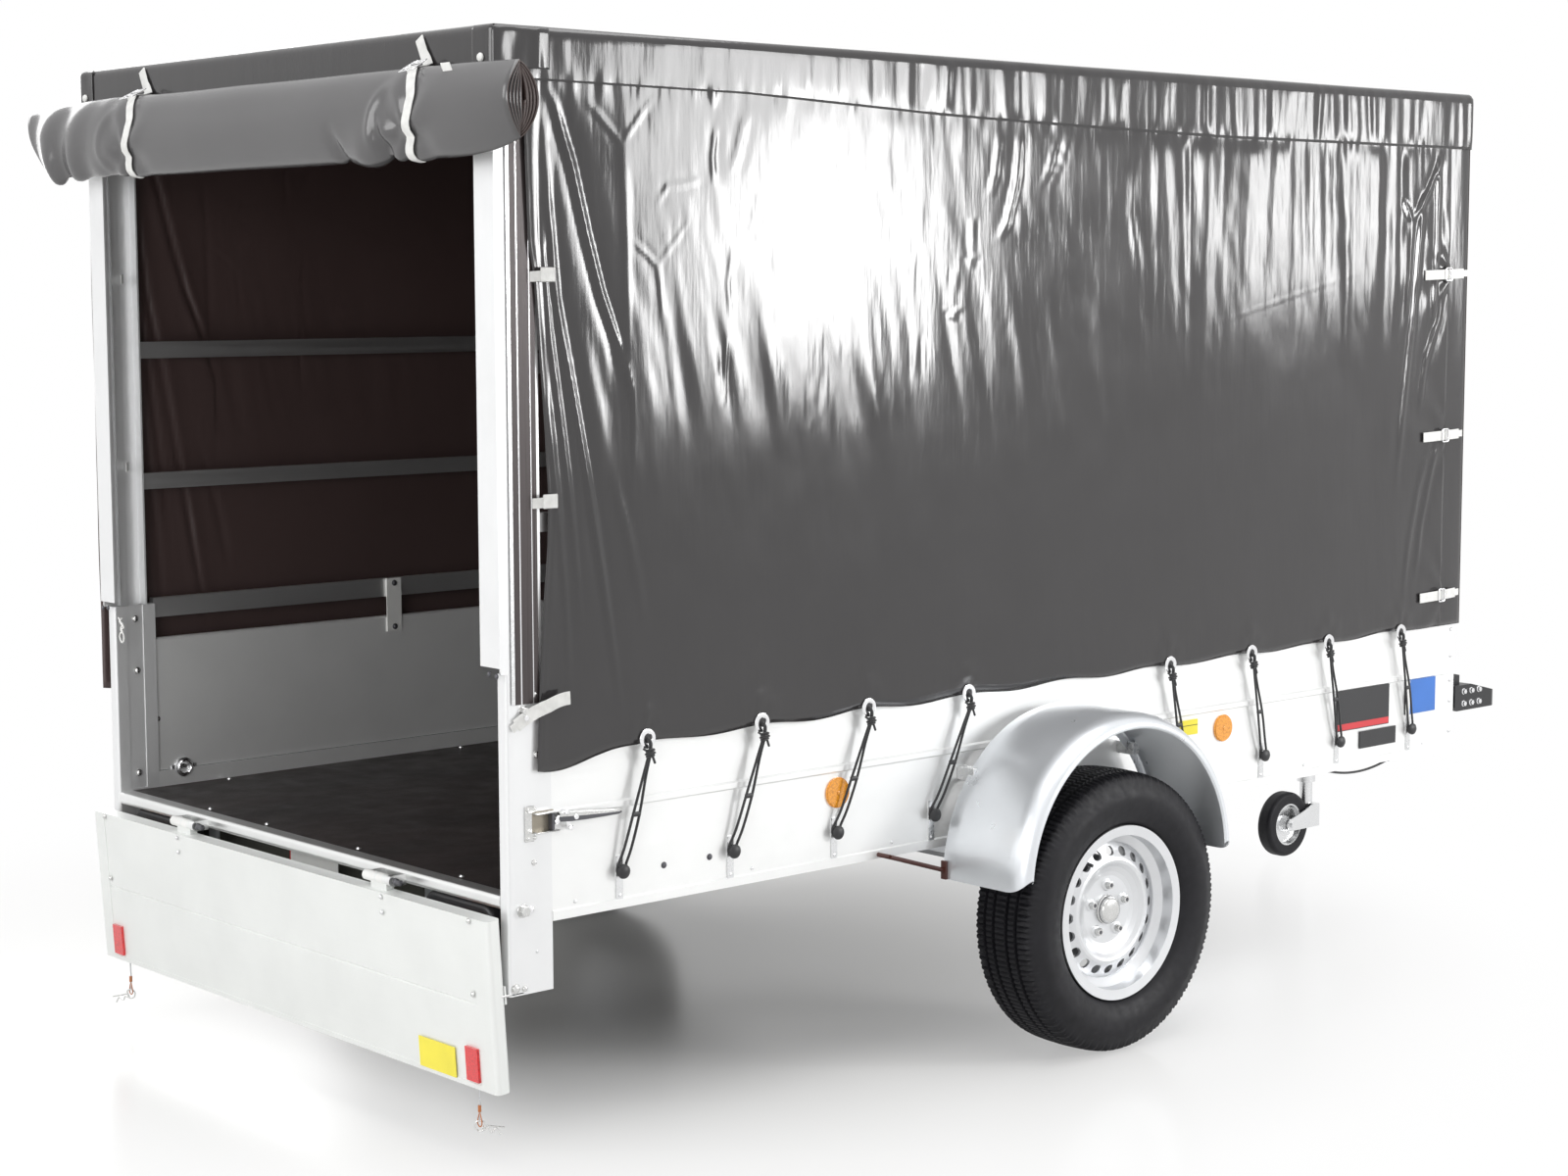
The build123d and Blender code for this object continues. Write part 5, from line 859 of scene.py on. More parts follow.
def roll_point(y, turn, layer):
    """Point of the flattened spiral: turn in radians from its top over the rear, layer counts whorls."""
    x, z, left, right = roll_middle(y)
    depth = (ROLL_HIGH.x - ROLL_LOW.x) / 2 - 0.005
    height = (ROLL_HIGH.z - ROLL_LOW.z) / 2 + 0.006
    depth *= 1 - 0.10 * min(1.0, right) ** 2 - 0.40 * left**2.2
    height *= 1 - 0.20 * min(1.0, right) ** 2.4 - 0.10 * left**2
    depth = max(0.004, depth - 0.0076 * layer)
    height = max(0.020, height - 0.0045 * layer)
    pointed = min(1.0, 0.12 + 0.95 * min(1.0, right) ** 1.2 + 0.5 * left)
    swing = sin(turn)
    side = depth * swing * ((1 - pointed) + pointed * abs(swing))
    lift = height * cos(turn)
    outside = max(0.0, 1 - 0.4 * layer)
    rear = max(0.0, -swing)
    low = max(0.0, -cos(turn))
    # soft dents and the tight folds beside the straps
    push = 0.0022 * wave(y * 1.2, cos(turn), 6.0, 2.0, 1.6)
    for strap_y, reach in ((STRAP_RIGHT, 1.0), (STRAP_LEFT, 0.8)):
        dy = y - strap_y
        push -= 0.0150 * float(ridge(dy, 0.024)) * (0.30 + 0.70 * low)
        fan = atan2(lift + 0.045, dy + 0.004)
        away = hypot(dy, 0.7 * (lift + 0.045))
        spread = float(ridge(away - 0.060, 0.040)) * (0.5 + 0.5 * low)
        push += 0.0085 * reach * sin(5.0 * fan + 0.8) * spread
        push += 0.0040 * reach * float(ridge(hypot(dy - 0.045, 0.8 * (lift + 0.020)) - 0.052, 0.010))
    # the slack bag to the left of the right strap, with a fold that turns back up
    bag = y - STRAP_RIGHT - 0.125
    push += 0.0190 * float(ridge(bag, 0.050)) * low**1.5
    push -= 0.0230 * float(ridge(bag + 0.062 - 0.25 * (lift + 0.08), 0.014)) * low
    push -= 0.0180 * float(ridge(bag - 0.085 - 0.55 * (lift + 0.08), 0.014)) * low**1.5
    # hanging pleats of the loose left end
    push += 0.0130 * min(1.0, left * 1.6) * sin(46 * (y + 0.30 * lift) + 2.0) * (0.5 + 0.5 * low)
    push *= outside * (0.4 + 0.6 * rear + 0.3 * low)
    side += push * (1 if swing > 0 else -1) * abs(swing) ** 0.5
    lift -= push * low
    lean = radians(8) * (1 - min(1.0, right))
    y += 0.085 * left**2 * (lift / height) - 0.012 * right**2 * abs(swing)
    return place(x + side * cos(lean) + lift * sin(lean), y, z - side * sin(lean) + lift * cos(lean))


def flap_roll():
    """Rear flap of the tarpaulin rolled up: one sheet wound into a flattened spiral."""

    def dense(y):
        """More stations beside the straps and at the loose end."""
        at_right = 1.6 * float(ridge(y - STRAP_RIGHT - 0.05, 0.12))
        at_left = 1.2 * float(ridge(y - STRAP_LEFT, 0.10))
        return 1.0 + at_right + at_left + 1.0 * (y > 0.6)

    whorls = 4.7
    steps = 150
    layers = [whorls * (step / steps) ** 1.25 for step in range(steps + 1)]
    stations = spread_evenly(ROLL_LOW.y + 0.012, ROLL_HIGH.y - 0.060, 180, dense)
    grid = [[roll_point(y, -(0.25 + tau * layer), layer) for layer in layers] for y in stations]
    made = cloth("rolled_flap", grid, [PVC_ROLL_IN, PVC_ROLL], 0.0022)
    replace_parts(made, "flap_roll")
    return made


# ---- straps, eyelets and ties ---------------------------------------------------------------------
def roll_straps():
    """White straps round the rolled flap, with buckles near the roof's edge and loose tails."""
    shape = Shape("flap_straps")
    for strap_y in (STRAP_RIGHT, STRAP_LEFT):
        path = [
            place(COVER_BACK - back, strap_y + aside, ROOF - below)
            for back, aside, below in ((0.004, 0.048, 0.014), (0.006, 0.030, 0.045), (0.011, 0.012, 0.066))
        ]
        x, z = roll_middle(strap_y)[:2]
        for step in range(15):
            shift = -0.036 * min(1.0, step / 5) + 0.006 * max(0.0, (step - 9) / 5)
            point = roll_point(strap_y + shift, -(0.42 + 2.45 * step / 14), 0.0)
            outward = Vector((point.x - REAR - x, 0, point.z - z)).normalized()
            path.append(point + outward * 0.0055)
        path.append(path[-1] + Vector((0.016, -0.002, -0.003)))
        path = smooth_path(path, 2)
        shape.band(path, up=LEFT)
        face = (path[9] - path[5]).normalized()
        out = LEFT.cross(face).normalized()
        out = out if out.x < 0 else -out
        turn = Matrix((face.cross(out), face, out)).transposed().to_4x4()
        for slide, wide, tall in ((0.0, 0.034, 0.046), (0.030, 0.030, 0.016)):
            buckle(shape, Matrix.Translation(path[7] - face * slide + out * 0.004) @ turn, wide, tall)
    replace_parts(shape.build("chassis"), "roll_straps")
    tag = Shape("size_tag")
    spot = roll_point(-0.735, -0.62, 0.0) + Vector((-0.0035, 0, 0.003))
    tilt = Matrix.Translation(spot) @ Matrix.Rotation(radians(-24), 4, "Y")
    tag.slab((-0.0008, -0.0145, -0.011), (0.0008, 0.0145, 0.011), WHITE, 0.0004, tilt)
    snap = [(0, 0.0085), (0.0025, 0.0085), (0.0045, 0.0070), (0.0055, 0.0035)]
    for side in (-1, 1):
        tag.lathe(place(COVER_BACK - 0.0045, side * 0.760, ROOF - 0.062), BACK, snap, WHITE, 20)
    tag.build("chassis")


def buckle(shape, local, wide, tall):
    """Flat frame buckle with a middle bar and a tongue, in the local xy plane."""
    bend = 0.004
    corners = []
    for sx, sy in ((1, 1), (-1, 1), (-1, -1), (1, -1)):
        for step in range(4):
            angle = atan2(sy, sx) - pi / 4 + pi / 2 * step / 3
            x = sx * (wide / 2 - bend) + bend * cos(angle)
            y = sy * (tall / 2 - bend) + bend * sin(angle)
            corners.append((x, y, 0))
    bar = [(-wide / 2, 0.002, 0.0005), (wide / 2, 0.002, 0.0005)]
    tongue = [(0, 0.002, 0.0025), (0.001, tall / 2 + 0.002, 0.0025)]
    flat = local.to_3x3() @ UP
    for points, thick, deep in ((corners, 0.0040, 0.0026), (bar, 0.003, 0.003), (tongue, 0.0026, 0.0022)):
        path = [local @ Vector(point) for point in points]
        shape.sweep(path, thick, deep, CHROME, up=flat, loop=points is corners)


def closing_strap(shape, side, z):
    """Short white strap over the front edge of a side panel: its pointed end and its buckle."""
    length = 0.186 - 0.014 * (z < 1.5)
    path = []
    for step in range(9):
        share = step / 8
        out = COVER_OUT + 0.0045 + 0.004 * sin(pi * share)
        path.append(place(2.982 - length / 2 + length * share, side * out, z + 0.006 * (share - 0.5)))
    shape.band(path[:-1])
    tip = path[-2]
    shape.band([tip, tip + (path[-1] - tip) * 0.8], 0.002, 0.017)
    face = (path[5] - path[3]).normalized()
    outward = LEFT * side
    turn = Matrix((outward.cross(face), face, outward)).transposed().to_4x4()
    buckle(shape, Matrix.Translation(path[4] + outward * 0.003) @ turn, 0.032, 0.026)


def closing_straps():
    """Straps along the front and rear edges of both side panels."""
    shape = Shape("closing_straps")
    for side in (-1, 1):
        for z in FRONT_STRAPS:
            closing_strap(shape, side, z)
        for z in REAR_STRAPS:
            y = side * (COVER_OUT + 0.003)
            # a stiff white tab on the panel and a band that runs back inside the post
            shape.slab((REAR + 0.078, y, z - 0.014), (REAR + 0.112, y + side * 0.004, z + 0.014),
                       STRAP, 0.003)
            route = [(0.084, y, 0.002), (0.066, side * (COVER_OUT - 0.014), 0.004)]
            route.append((0.030, side * (WALL_OUT - 0.050), 0.006))
            shape.band(smooth_path([place(x, y, z - below) for x, y, below in route], 4), 0.0020, 0.020)
    shape.build("chassis")


def post_straps():
    """Straps from the rear posts round the lower rear corners of the side panels."""
    shape = Shape("post_straps")
    for side in (-1, 1):
        path = []
        for step in range(13):
            share = step / 12
            out = WALL_OUT + 0.005 + (COVER_OUT - WALL_OUT + 0.006) * min(1.0, share * 1.7) ** 2
            path.append(place(0.010 + 0.122 * share, side * out, 0.856 + 0.052 * sin(pi / 2 * share)))
        shape.band(path[1:], 0.0022, 0.026)
        shape.band(path[:2], 0.0020, 0.016)
        stud = [(0, 0.006), (0.002, 0.006), (0.0034, 0.004)]
        shape.lathe(path[3] + LEFT * side * 0.001, LEFT * side, stud, CHROME, 12)
    shape.build("chassis")


def eyelet(shape, centre, out):
    """Wide pressed ring, with a black disc in its hole for the black cord and the painted shade behind it.
    """
    turn = UP.rotation_difference(out).to_matrix()
    rings = []
    for step in range(30):
        angle = tau * step / 30
        ring = []
        for part in range(8):
            roll = tau * part / 8
            radius = 0.0148 + 0.0054 * cos(roll)
            lift = 0.0022 * sin(roll)
            ring.append(centre + turn @ Vector((radius * cos(angle), radius * sin(angle), lift)))
        rings.append(ring)
    shape.rings(rings, CHROME, loop=True)
    # black disc in the hole: partly the black cord through it, partly painted shade
    shape.lathe(centre - out * 0.0012, out, [(0, 0.0100), (0.0008, 0.0100)], BLACK, 20)


def eyelets():
    """Eyelets along the lower edges of the side panels and the front."""
    shape = Shape("eyelets")
    for side in (-1, 1):
        for x in TIES:
            out = COVER_OUT - 0.0025 + float(side_fold(np.float64(x), np.float64(EYELET_Z), SEEDS[side]))
            out = max(out, PANEL_LEAST) + 0.0022
            eyelet(shape, place(x, side * out, EYELET_Z), LEFT * side)
    for y in front_tie_rows():
        eyelet(shape, place(COVER_FRONT - 0.001, y, EYELET_Z), AHEAD)
    shape.build("chassis")


def front_tie_rows():
    """y of each tie across the front."""
    return [WALL_OUT * (-0.75 + 0.5 * index) for index in range(4)]


def elastic_tie(shape, top, foot, out, along):
    """Black elastic loop: a knot below its eyelet, two strands with a clip, round its button."""
    knot = top + UP * -0.026 + out * 0.007
    line = foot - knot
    clip = knot + line * 0.52 + out * 0.003
    neck = [top - out * 0.002, top + out * 0.008 + UP * -0.008, knot]
    shape.wire(smooth_path(neck, 3), 0.0080, ELASTIC, up=out)
    for way in (-1, 1):
        strand = [
            knot + along * way * 0.002,
            knot + line * 0.20 + along * way * 0.0035,
            clip + along * way * 0.0082,
            knot + line * 0.80 + along * way * 0.0092 + out * 0.002,
            foot + along * way * 0.0100 + UP * 0.010,
            foot + along * way * 0.0095 + UP * -0.004,
            foot + UP * -0.0115,
        ]
        shape.wire(smooth_path(strand, 4), 0.0058, ELASTIC, up=out, sides=7)
    for height, radius in ((0.003, 0.0080), (-0.003, 0.0095), (-0.008, 0.0075)):
        ring = []
        for step in range(10):
            angle = tau * step / 10
            turn = along * radius * cos(angle) + out * radius * 0.8 * sin(angle)
            ring.append(knot + UP * (height + 0.0025 * sin(angle)) + turn)
        shape.wire(ring, 0.0056, ELASTIC, sides=6, loop=True)
    for reach, fall in ((-0.017, 0.004), (0.012, -0.012)):
        tail = [knot, knot + along * reach * 0.6 + UP * fall, knot + along * reach + UP * fall * 2]
        shape.wire(tail, 0.005, ELASTIC, up=out, sides=6)
    bridge = [clip + along * shift for shift in (-0.0095, 0, 0.0095)]
    shape.sweep(bridge, 0.0060, 0.0105, BLACK)


def smooth_path(points, steps):
    """Catmull-Rom curve through a short list of points."""
    points = [Vector(point) for point in points]
    ends = [points[0] * 2 - points[1], *points, points[-1] * 2 - points[-2]]
    path = []
    for i in range(1, len(ends) - 2):
        a, b, c, d = ends[i - 1 : i + 3]
        for step in range(steps):
            t = step / steps
            bend = (2 * a - 5 * b + 4 * c - d) * t**2 + (3 * b - a - 3 * c + d) * t**3
            path.append(0.5 * (2 * b + (c - a) * t + bend))
    path.append(points[-1])
    return path


def tie_feet():
    """(eyelet, button, outward, along) of every tie, as the solids have them."""
    places = []
    for side in (-1, 1):
        for index, x in enumerate(TIES):
            lean = TIE_LEAN * (1 + index * 0.2) if index < 4 else -TIE_LEAN
            top = place(x, side * (COVER_OUT + 0.001), EYELET_Z)
            foot = place(x - lean, side * (WALL_OUT + BUTTON_OUT), BUTTON_Z)
            places.append((top, foot, LEFT * side, AHEAD))
    for y in front_tie_rows():
        top = place(COVER_FRONT + 0.001, y, EYELET_Z)
        foot = place(BOX_FRONT + BUTTON_OUT, y, BUTTON_Z)
        places.append((top, foot, AHEAD, LEFT))
    return places


def ties_and_buttons():
    """Elastic ties, and the domed buttons on strips of plate that hold their lower ends."""
    ties = Shape("ties")
    buttons = Shape("buttons")
    dome = [
        (0.0, 0.0075), (0.012, 0.0075), (0.0125, 0.0135), (0.0150, 0.0150),
        (0.0185, 0.0142), (0.0212, 0.0108), (0.0228, 0.0060), (0.0234, 0.0018),
    ]
    for top, foot, out, along in tie_feet():
        elastic_tie(ties, top, foot, out, along)
        base = foot - out * BUTTON_OUT
        strip = along * 0.0085
        outline = (-strip, strip, strip + out * 0.0025, -strip + out * 0.0025)
        buttons.rings([[base + corner + UP * z for corner in outline] for z in (-0.058, 0.030)], ZINC)
        screw = base + out * 0.0025 + UP * -0.050
        buttons.lathe(screw, out, [(0, 0.0035), (0.0012, 0.0032), (0.002, 0.0015)], ZINC, 10)
        buttons.lathe(base, out, dome, BLACK, 24)
    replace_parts(ties.build("chassis"), "elastic_ties")
    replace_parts(buttons.build("chassis"), "tie_buttons")


# ---- wheels and mudguards -------------------------------------------------------------------------
def tyre_section():
    """(across, radius, zone) points round the tyre's outside, from the inner bead to the outer."""
    points = [(-0.066, 0.1795, "bead"), (-0.0668, 0.1870, "bead"), (-0.0655, 0.1950, "bead")]
    for share in (0.05, 0.12, 0.20, 0.29, 0.38, 0.48, 0.58, 0.68, 0.78, 0.87, 0.95):
        bulge = sin(pi * (0.06 + 0.80 * share)) ** 0.8
        points.append((-0.0650 - 0.0293 * bulge, 0.197 + (TYRE_OUT - 0.215) * share, "wall"))
    # (distance from the middle, depth below the crown)
    tread = {
        "shoulder": [(0.0800, 0.0125), (0.0755, 0.0068), (0.0690, 0.0040)],
        "block": [(0.0560, 0.0022), (0.0500, 0.0017)],
        "groove": [(0.0485, 0.0095), (0.0425, 0.0095), (0.0220, 0.0090), (0.0160, 0.0090)],
        "rib": [
            (0.0410, 0.0012), (0.0320, 0.0008), (0.0235, 0.0005),
            (0.0145, 0.0003), (0.0070, 0.0001), (0.0, 0.0),
        ],
    }
    rows = [(-away, TYRE_OUT - depth, zone) for zone, spots in tread.items() for away, depth in spots]
    half = points + sorted(rows)
    return half + [(-across, radius, zone) for across, radius, zone in reversed(half[:-1])]


def tyre(side):
    """Tyre with straight grooves, fine sipes, shoulder slots and moulded sidewall rings."""
    shape = Shape("tyre_dressed_" + HAND[side])
    section = tyre_section()
    wide = len(section)
    per = 6                                     # steps of the section in each of the tread's pitches
    count = 78 * per
    sipes = {"rib": ((0, 3), 0.0040), "block": ((0, 3), 0.0052), "shoulder": ((0, 1, 3), 0.0042)}
    points = []
    for index in range(count):
        angle = tau * index / count
        for across, radius, zone in section:
            outer = 1 if across > 0 else -1
            if zone == "wall":
                if 0.258 < radius < 0.268 or 0.204 < radius < 0.210:
                    across += 0.0011 * outer
                if 0.276 < radius < 0.292 and index % 2:
                    across += 0.0007 * outer
            elif zone in sipes:
                steps, depth = sipes[zone]
                radius -= depth * ((index % per + (3 if across > 0 else 0)) % per in steps)
            points.append(hub(side) + Vector((radius * cos(angle), across, radius * sin(angle))))
    faces = []
    for i in range(count):
        a = i * wide
        b = (i + 1) % count * wide
        faces += [(a + j, a + j + 1, b + j + 1, b + j) for j in range(wide - 1)]
        # the casing's inside, from bead to bead
        faces.append((a + wide - 1, a, b, b + wide - 1))
    shape.add(points, faces, TYRE)
    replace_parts(shape.build("wheel_" + HAND[side]), "tyre_" + HAND[side])


def wheel_fittings(side):
    """Wheel bolts in their seats, grease cap and valve."""
    shape = Shape("wheel_fittings_" + HAND[side])
    out = LEFT * side
    seat = hub(side) + out * 0.029
    for index in range(5):
        angle = tau * index / 5 + 0.3
        spot = seat + Vector((0.056 * cos(angle), 0, 0.056 * sin(angle)))
        shape.lathe(spot - out * 0.003, out, [(0, 0.0165), (0.0045, 0.0135), (0.0060, 0.0110)], WHEEL, 20)
        shape.lathe(spot, out, [(0, 0.0092), (0.012, 0.0092), (0.0140, 0.0078)], STEEL, 6)
        shape.lathe(spot + out * 0.0135, out, [(0, 0.0050), (0.0008, 0.0046)], DARK_STEEL, 12)
    cap = [
        (0.0, 0.0325), (0.003, 0.0330), (0.005, 0.0305), (0.013, 0.0295),
        (0.017, 0.0262), (0.0195, 0.0190), (0.0205, 0.0060),
    ]
    shape.lathe(seat, out, cap, STEEL, 40)
    away = Vector((cos(2.2), 0, sin(2.2)))
    valve = [(0, 0.0055), (0.022, 0.0045), (0.024, 0.0038), (0.034, 0.0038)]
    shape.lathe(hub(side) + away * 0.150 + out * 0.028, out - away * 0.25, valve, BLACK, 14)
    shape.build("wheel_" + HAND[side])


def mudguards():
    """Half-round sheet guards with a large rounded shoulder, a deep outer lip and turned edges."""
    low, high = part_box("mudguards")
    middle = (low.x + high.x) / 2
    radius = (high.x - low.x) / 2
    outer = high.y
    inner = WALL_OUT + GUARD_GAP
    shoulder = 0.052
    lip = 0.028
    sheet = 0.0018
    profile = [(inner, 0.020), (inner, 0.006), (inner + 0.002, 0.002), (inner + 0.007, 0.0)]
    profile += [(inner + (outer - shoulder - inner) * share, 0.0) for share in (0.2, 0.4, 0.6, 0.8)]
    for step in range(13):
        angle = pi / 2 * step / 12
        profile.append((outer - shoulder + shoulder * sin(angle), lip * (1 - cos(angle))))
    for back, below in ((0.0006, 0.0025), (0.0030, 0.0040), (0.0060, 0.0035)):
        profile.append((outer - back, lip + below))
    under = []
    for y, depth in reversed(profile):
        under.append((y - (sheet if y > inner + 0.003 else -sheet), depth + sheet))
    bracket_z = low.z + 0.220
    bracket = sqrt(radius**2 - (bracket_z - low.z) ** 2) - 0.012
    shape = Shape("mudguards_dressed")
    for side in (-1, 1):
        rings = []
        for step in range(97):
            angle = pi * step / 96
            ring = []
            for y, depth in profile + under:
                turned = angle
                if min(angle, pi - angle) < 0.12:
                    # the lower corners of the outer face are rounded off
                    cut = 0.030 * max(0.0, (y - outer + 0.060) / 0.060) ** 3 / radius
                    turned = max(angle, cut) if angle < pi / 2 else min(angle, pi - cut)
                reach = radius - depth
                ring.append(Vector((middle + reach * cos(turned), side * y, low.z + reach * sin(turned))))
            rings.append(ring)
        shape.rings(rings, GUARD)
        # brackets between the guard's inner edge and the wall
        for x in (middle - bracket, middle + bracket):
            shape.slab((x - 0.012, side * WALL_OUT, bracket_z - 0.015),
                       (x + 0.012, side * (inner + 0.02), bracket_z + 0.015), ZINC)
    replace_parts(shape.build("chassis"), "mudguards")


# ---- small fittings -------------------------------------------------------------------------------
def bolt(shape, spot, out, radius, finish=ZINC, dome=True):
    """Washer and a domed or six-sided head."""
    shape.lathe(spot, out, [(0, radius * 1.25), (radius * 0.2, radius * 1.2)], finish, 16)
    head = [(0, 1), (0.35, 0.95), (0.6, 0.7), (0.7, 0.25)] if dome else [(0, 1), (0.9, 1), (1.05, 0.8)]
    head = [(along * radius, wide * radius) for along, wide in head]
    shape.lathe(spot + Vector(out) * radius * 0.15, out, head, finish, 14 if dome else 6)


def chassis_bolts():
    """Bolts and rivets of the posts, rails, floor and front corners."""
    shape = Shape("chassis_bolts")
    inner = WALL_OUT - 0.025
    post_in = WALL_OUT - 0.030
    # places along, place across, places up, which way each looks, radius, finish and whether it is domed
    rows = [
        ([0.067], WALL_OUT, [0.919], "out", 0.0055, STEEL, True),
        ([0.070], WALL_OUT, [0.801], "out", 0.0055, STEEL, True),
        ([0.062], WALL_OUT, [0.591], "out", 0.0050, STEEL, True),
        ([0.041], WALL_OUT, [0.888], "out", 0.0085, STEEL, False),
        ([0.034], WALL_OUT, [0.500], "out", 0.0110, STEEL, False),
        ([0.052], WALL_OUT, [0.500], "out", 0.0070, CHROME, True),
        ([0.067], WALL_OUT, [0.415], "out", 0.0030, ZINC, True),
        ([0.385, 0.505], WALL_OUT, [0.540], "out", 0.0055, DARK_STEEL, True),
        ([0.16, 0.62, 1.02, 2.02, 2.45, 2.95], WALL_OUT, [0.500], "out", 0.0035, ZINC, True),
        ([BOX_FRONT - 0.018], WALL_OUT, CORNER_BOLTS, "out", 0.0045, ZINC, True),
        ([BOX_FRONT + 0.004], WALL_OUT - 0.026, CORNER_BOLTS, "ahead", 0.0045, ZINC, True),
        ([0.28, 0.95, 1.55, 2.15, 2.75], 0.726, [FLOOR], "up", 0.0045, ZINC, True),
        ([0.050], 0.18, [FLOOR], "up", 0.0045, ZINC, True),
        ([0.053], post_in, [0.931], "in", 0.0065, STEEL, True),
        ([0.055], post_in, [0.810], "in", 0.0065, STEEL, True),
        ([0.052], post_in, [0.570], "in", 0.0065, STEEL, True),
        ([0.107], inner, [0.690], "in", 0.0055, STEEL, True),
        ([0.310], inner, [0.552], "in", 0.0055, DARK_STEEL, True),
        ([0.416], inner, [0.553], "in", 0.0055, DARK_STEEL, True),
        ([BOX_FRONT / 4, BOX_FRONT * 0.75], inner - 0.004, [0.962, 0.853], "in", 0.0060, DARK_STEEL, True),
    ]
    for side in (-1, 1):
        ways = {"out": LEFT * side, "in": LEFT * -side, "ahead": AHEAD, "up": UP}
        for along, across, heights, way, radius, finish, dome in rows:
            for x in along:
                for z in heights:
                    bolt(shape, place(x, side * across, z), ways[way], radius, finish, dome)
        # joint line between wall and side rail, seen from the load space
        shape.slab((REAR + 0.108, side * inner, 0.5655), (REAR + 3.050, side * (inner - 0.0012), 0.5680),
                   DARK_STEEL, 0.0003)
    for y in (-0.55, 0.42):
        bolt(shape, place(0.050, y, FLOOR), UP, 0.0045)
    shape.build("chassis")


def hinge_plates():
    """Bent plates and bolts that join the tailgate's outer hinges to the rear posts' feet."""
    shape = Shape("post_hinge_plates")
    for side in (-1, 1):
        shape.slab((REAR - 0.020, side * (WALL_OUT - 0.030), 0.337), (REAR + 0.034, side * WALL_OUT, 0.341),
                   STEEL, 0.001)
        for x, z, radius in ((0.014, 0.350, 0.0085), (0.036, 0.347, 0.0055)):
            bolt(shape, place(x, side * WALL_OUT, z), LEFT * side, radius, STEEL)
    shape.build("chassis")


def toggle_latch(shape, side):
    """Over-centre latch: base plate with four bolts, hollow housing, linked pivots and a lever."""
    face = WALL_OUT
    local = Matrix.Translation(place(0, 0, 0)) @ Matrix.Scale(side, 4, LEFT)
    for x0, x1, y0, y1, z0, z1, finish in (
        (0.040, 0.062, 0.000, 0.003, 0.633, 0.703, STEEL),
        (0.056, 0.108, 0.000, 0.004, 0.648, 0.690, BRASS_DARK),
        (0.056, 0.112, 0.003, 0.020, 0.686, 0.6885, STEEL),
        (0.056, 0.112, 0.003, 0.020, 0.6495, 0.652, STEEL),
        (0.094, 0.100, 0.003, 0.018, 0.652, 0.686, DARK_STEEL),
    ):
        shape.slab((x0, face + y0, z0), (x1, face + y1, z1), finish, 0.001, local)
    for x in (0.046, 0.062):
        for z in (0.640, 0.696):
            bolt(shape, place(x, side * (face + 0.003), z), LEFT * side, 0.0035, STEEL)
    pivots = [
        (0.104, 0.669, 0.0060), (0.128, 0.684, 0.0055), (0.150, 0.672, 0.0062), (0.138, 0.652, 0.0050),
    ]
    for x, z, radius in pivots:
        barrel = [(0, radius * 0.7), (0.002, radius), (0.018, radius), (0.020, radius * 0.7)]
        shape.lathe(place(x, side * (face + 0.003), z), LEFT * side, barrel, CHROME, 14)
    for a, b in ((0, 1), (1, 2), (1, 3)):
        link = [place(pivots[end][0], side * (face + 0.014), pivots[end][1]) for end in (a, b)]
        shape.sweep(link, 0.010, 0.007, CHROME, up=LEFT, sides=10, power=3.0)
    # (place along, half its height, distance from the wall, thickness) of the tapered lever
    sections = (
        (0.112, 0.0095, 0.012, 0.012), (0.135, 0.0100, 0.015, 0.012), (0.175, 0.0085, 0.017, 0.010),
        (0.225, 0.0062, 0.016, 0.008), (0.258, 0.0048, 0.013, 0.006), (0.268, 0.0022, 0.011, 0.004),
    )
    for drop, share, proud, finish in ((0.0, 1.0, 0.0, STEEL), (0.0045, 0.62, 0.0006, DARK_STEEL)):
        lever = []
        for x, half, lift, thick in sections:
            z = 0.676 - (x - 0.112) * 0.055 - drop * half / 0.01
            half *= share
            near = side * (face + lift - thick / 2)
            far = side * (face + lift + thick / 2 + proud)
            corners = ((near, -half), (far, -half * 0.8), (far, half * 0.8), (near, half))
            lever.append([place(x, y, z + rise) for y, rise in corners])
        shape.rings(lever, finish)


def side_latches():
    """Over-centre latches of both sides, in one piece like the solids."""
    shape = Shape("toggle_latches")
    for side in (-1, 1):
        toggle_latch(shape, side)
    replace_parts(shape.build("chassis"), "side_latches")


def labels():
    """Blank labels and the blank type plate on the right wall."""
    shape = Shape("blank_labels")
    face = -WALL_OUT - 0.0040
    for x0, x1, z0, z1, finish, proud in (
        (2.579, 2.796, 0.569, 0.672, BLACK, 0.0006),
        (2.581, 2.794, 0.571, 0.587, RED_LABEL, 0.0009),
        (2.868, 2.997, 0.583, 0.672, BLUE, 0.0006),
        (2.868, 2.886, 0.583, 0.672, PLATE, 0.0009),
        (2.676, 2.827, 0.516, 0.560, BLACK, 0.0006),
        (1.972, 2.034, 0.626, 0.662, YELLOW, 0.0006),
        (1.980, 2.034, 0.648, 0.6495, BLACK, 0.0009),
    ):
        shape.slab((REAR + x0, face - proud, z0), (REAR + x1, face + 0.003, z1), finish, 0.0002)
    shape.build("chassis")


def reflector_rims():
    """Thin housings round the amber side reflectors."""
    low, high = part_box("side_reflectors")
    shape = Shape("reflector_rims")
    radius = (high.z - low.z) / 2
    knob = [(0, 0.0045), (0.001, 0.004), (0.0016, 0.002)]
    for side in (-1, 1):
        for x in (low.x + radius, high.x - radius):
            centre = Vector((x, side * (WALL_OUT + 0.002), (low.z + high.z) / 2))
            shape.sweep(circle(centre, radius * 1.02, 40), 0.003, 0.005, AMBER, up=LEFT, loop=True, sides=6)
            shape.lathe(centre + LEFT * side * 0.0045, LEFT * side, knob, AMBER, 12)
    shape.build("chassis")


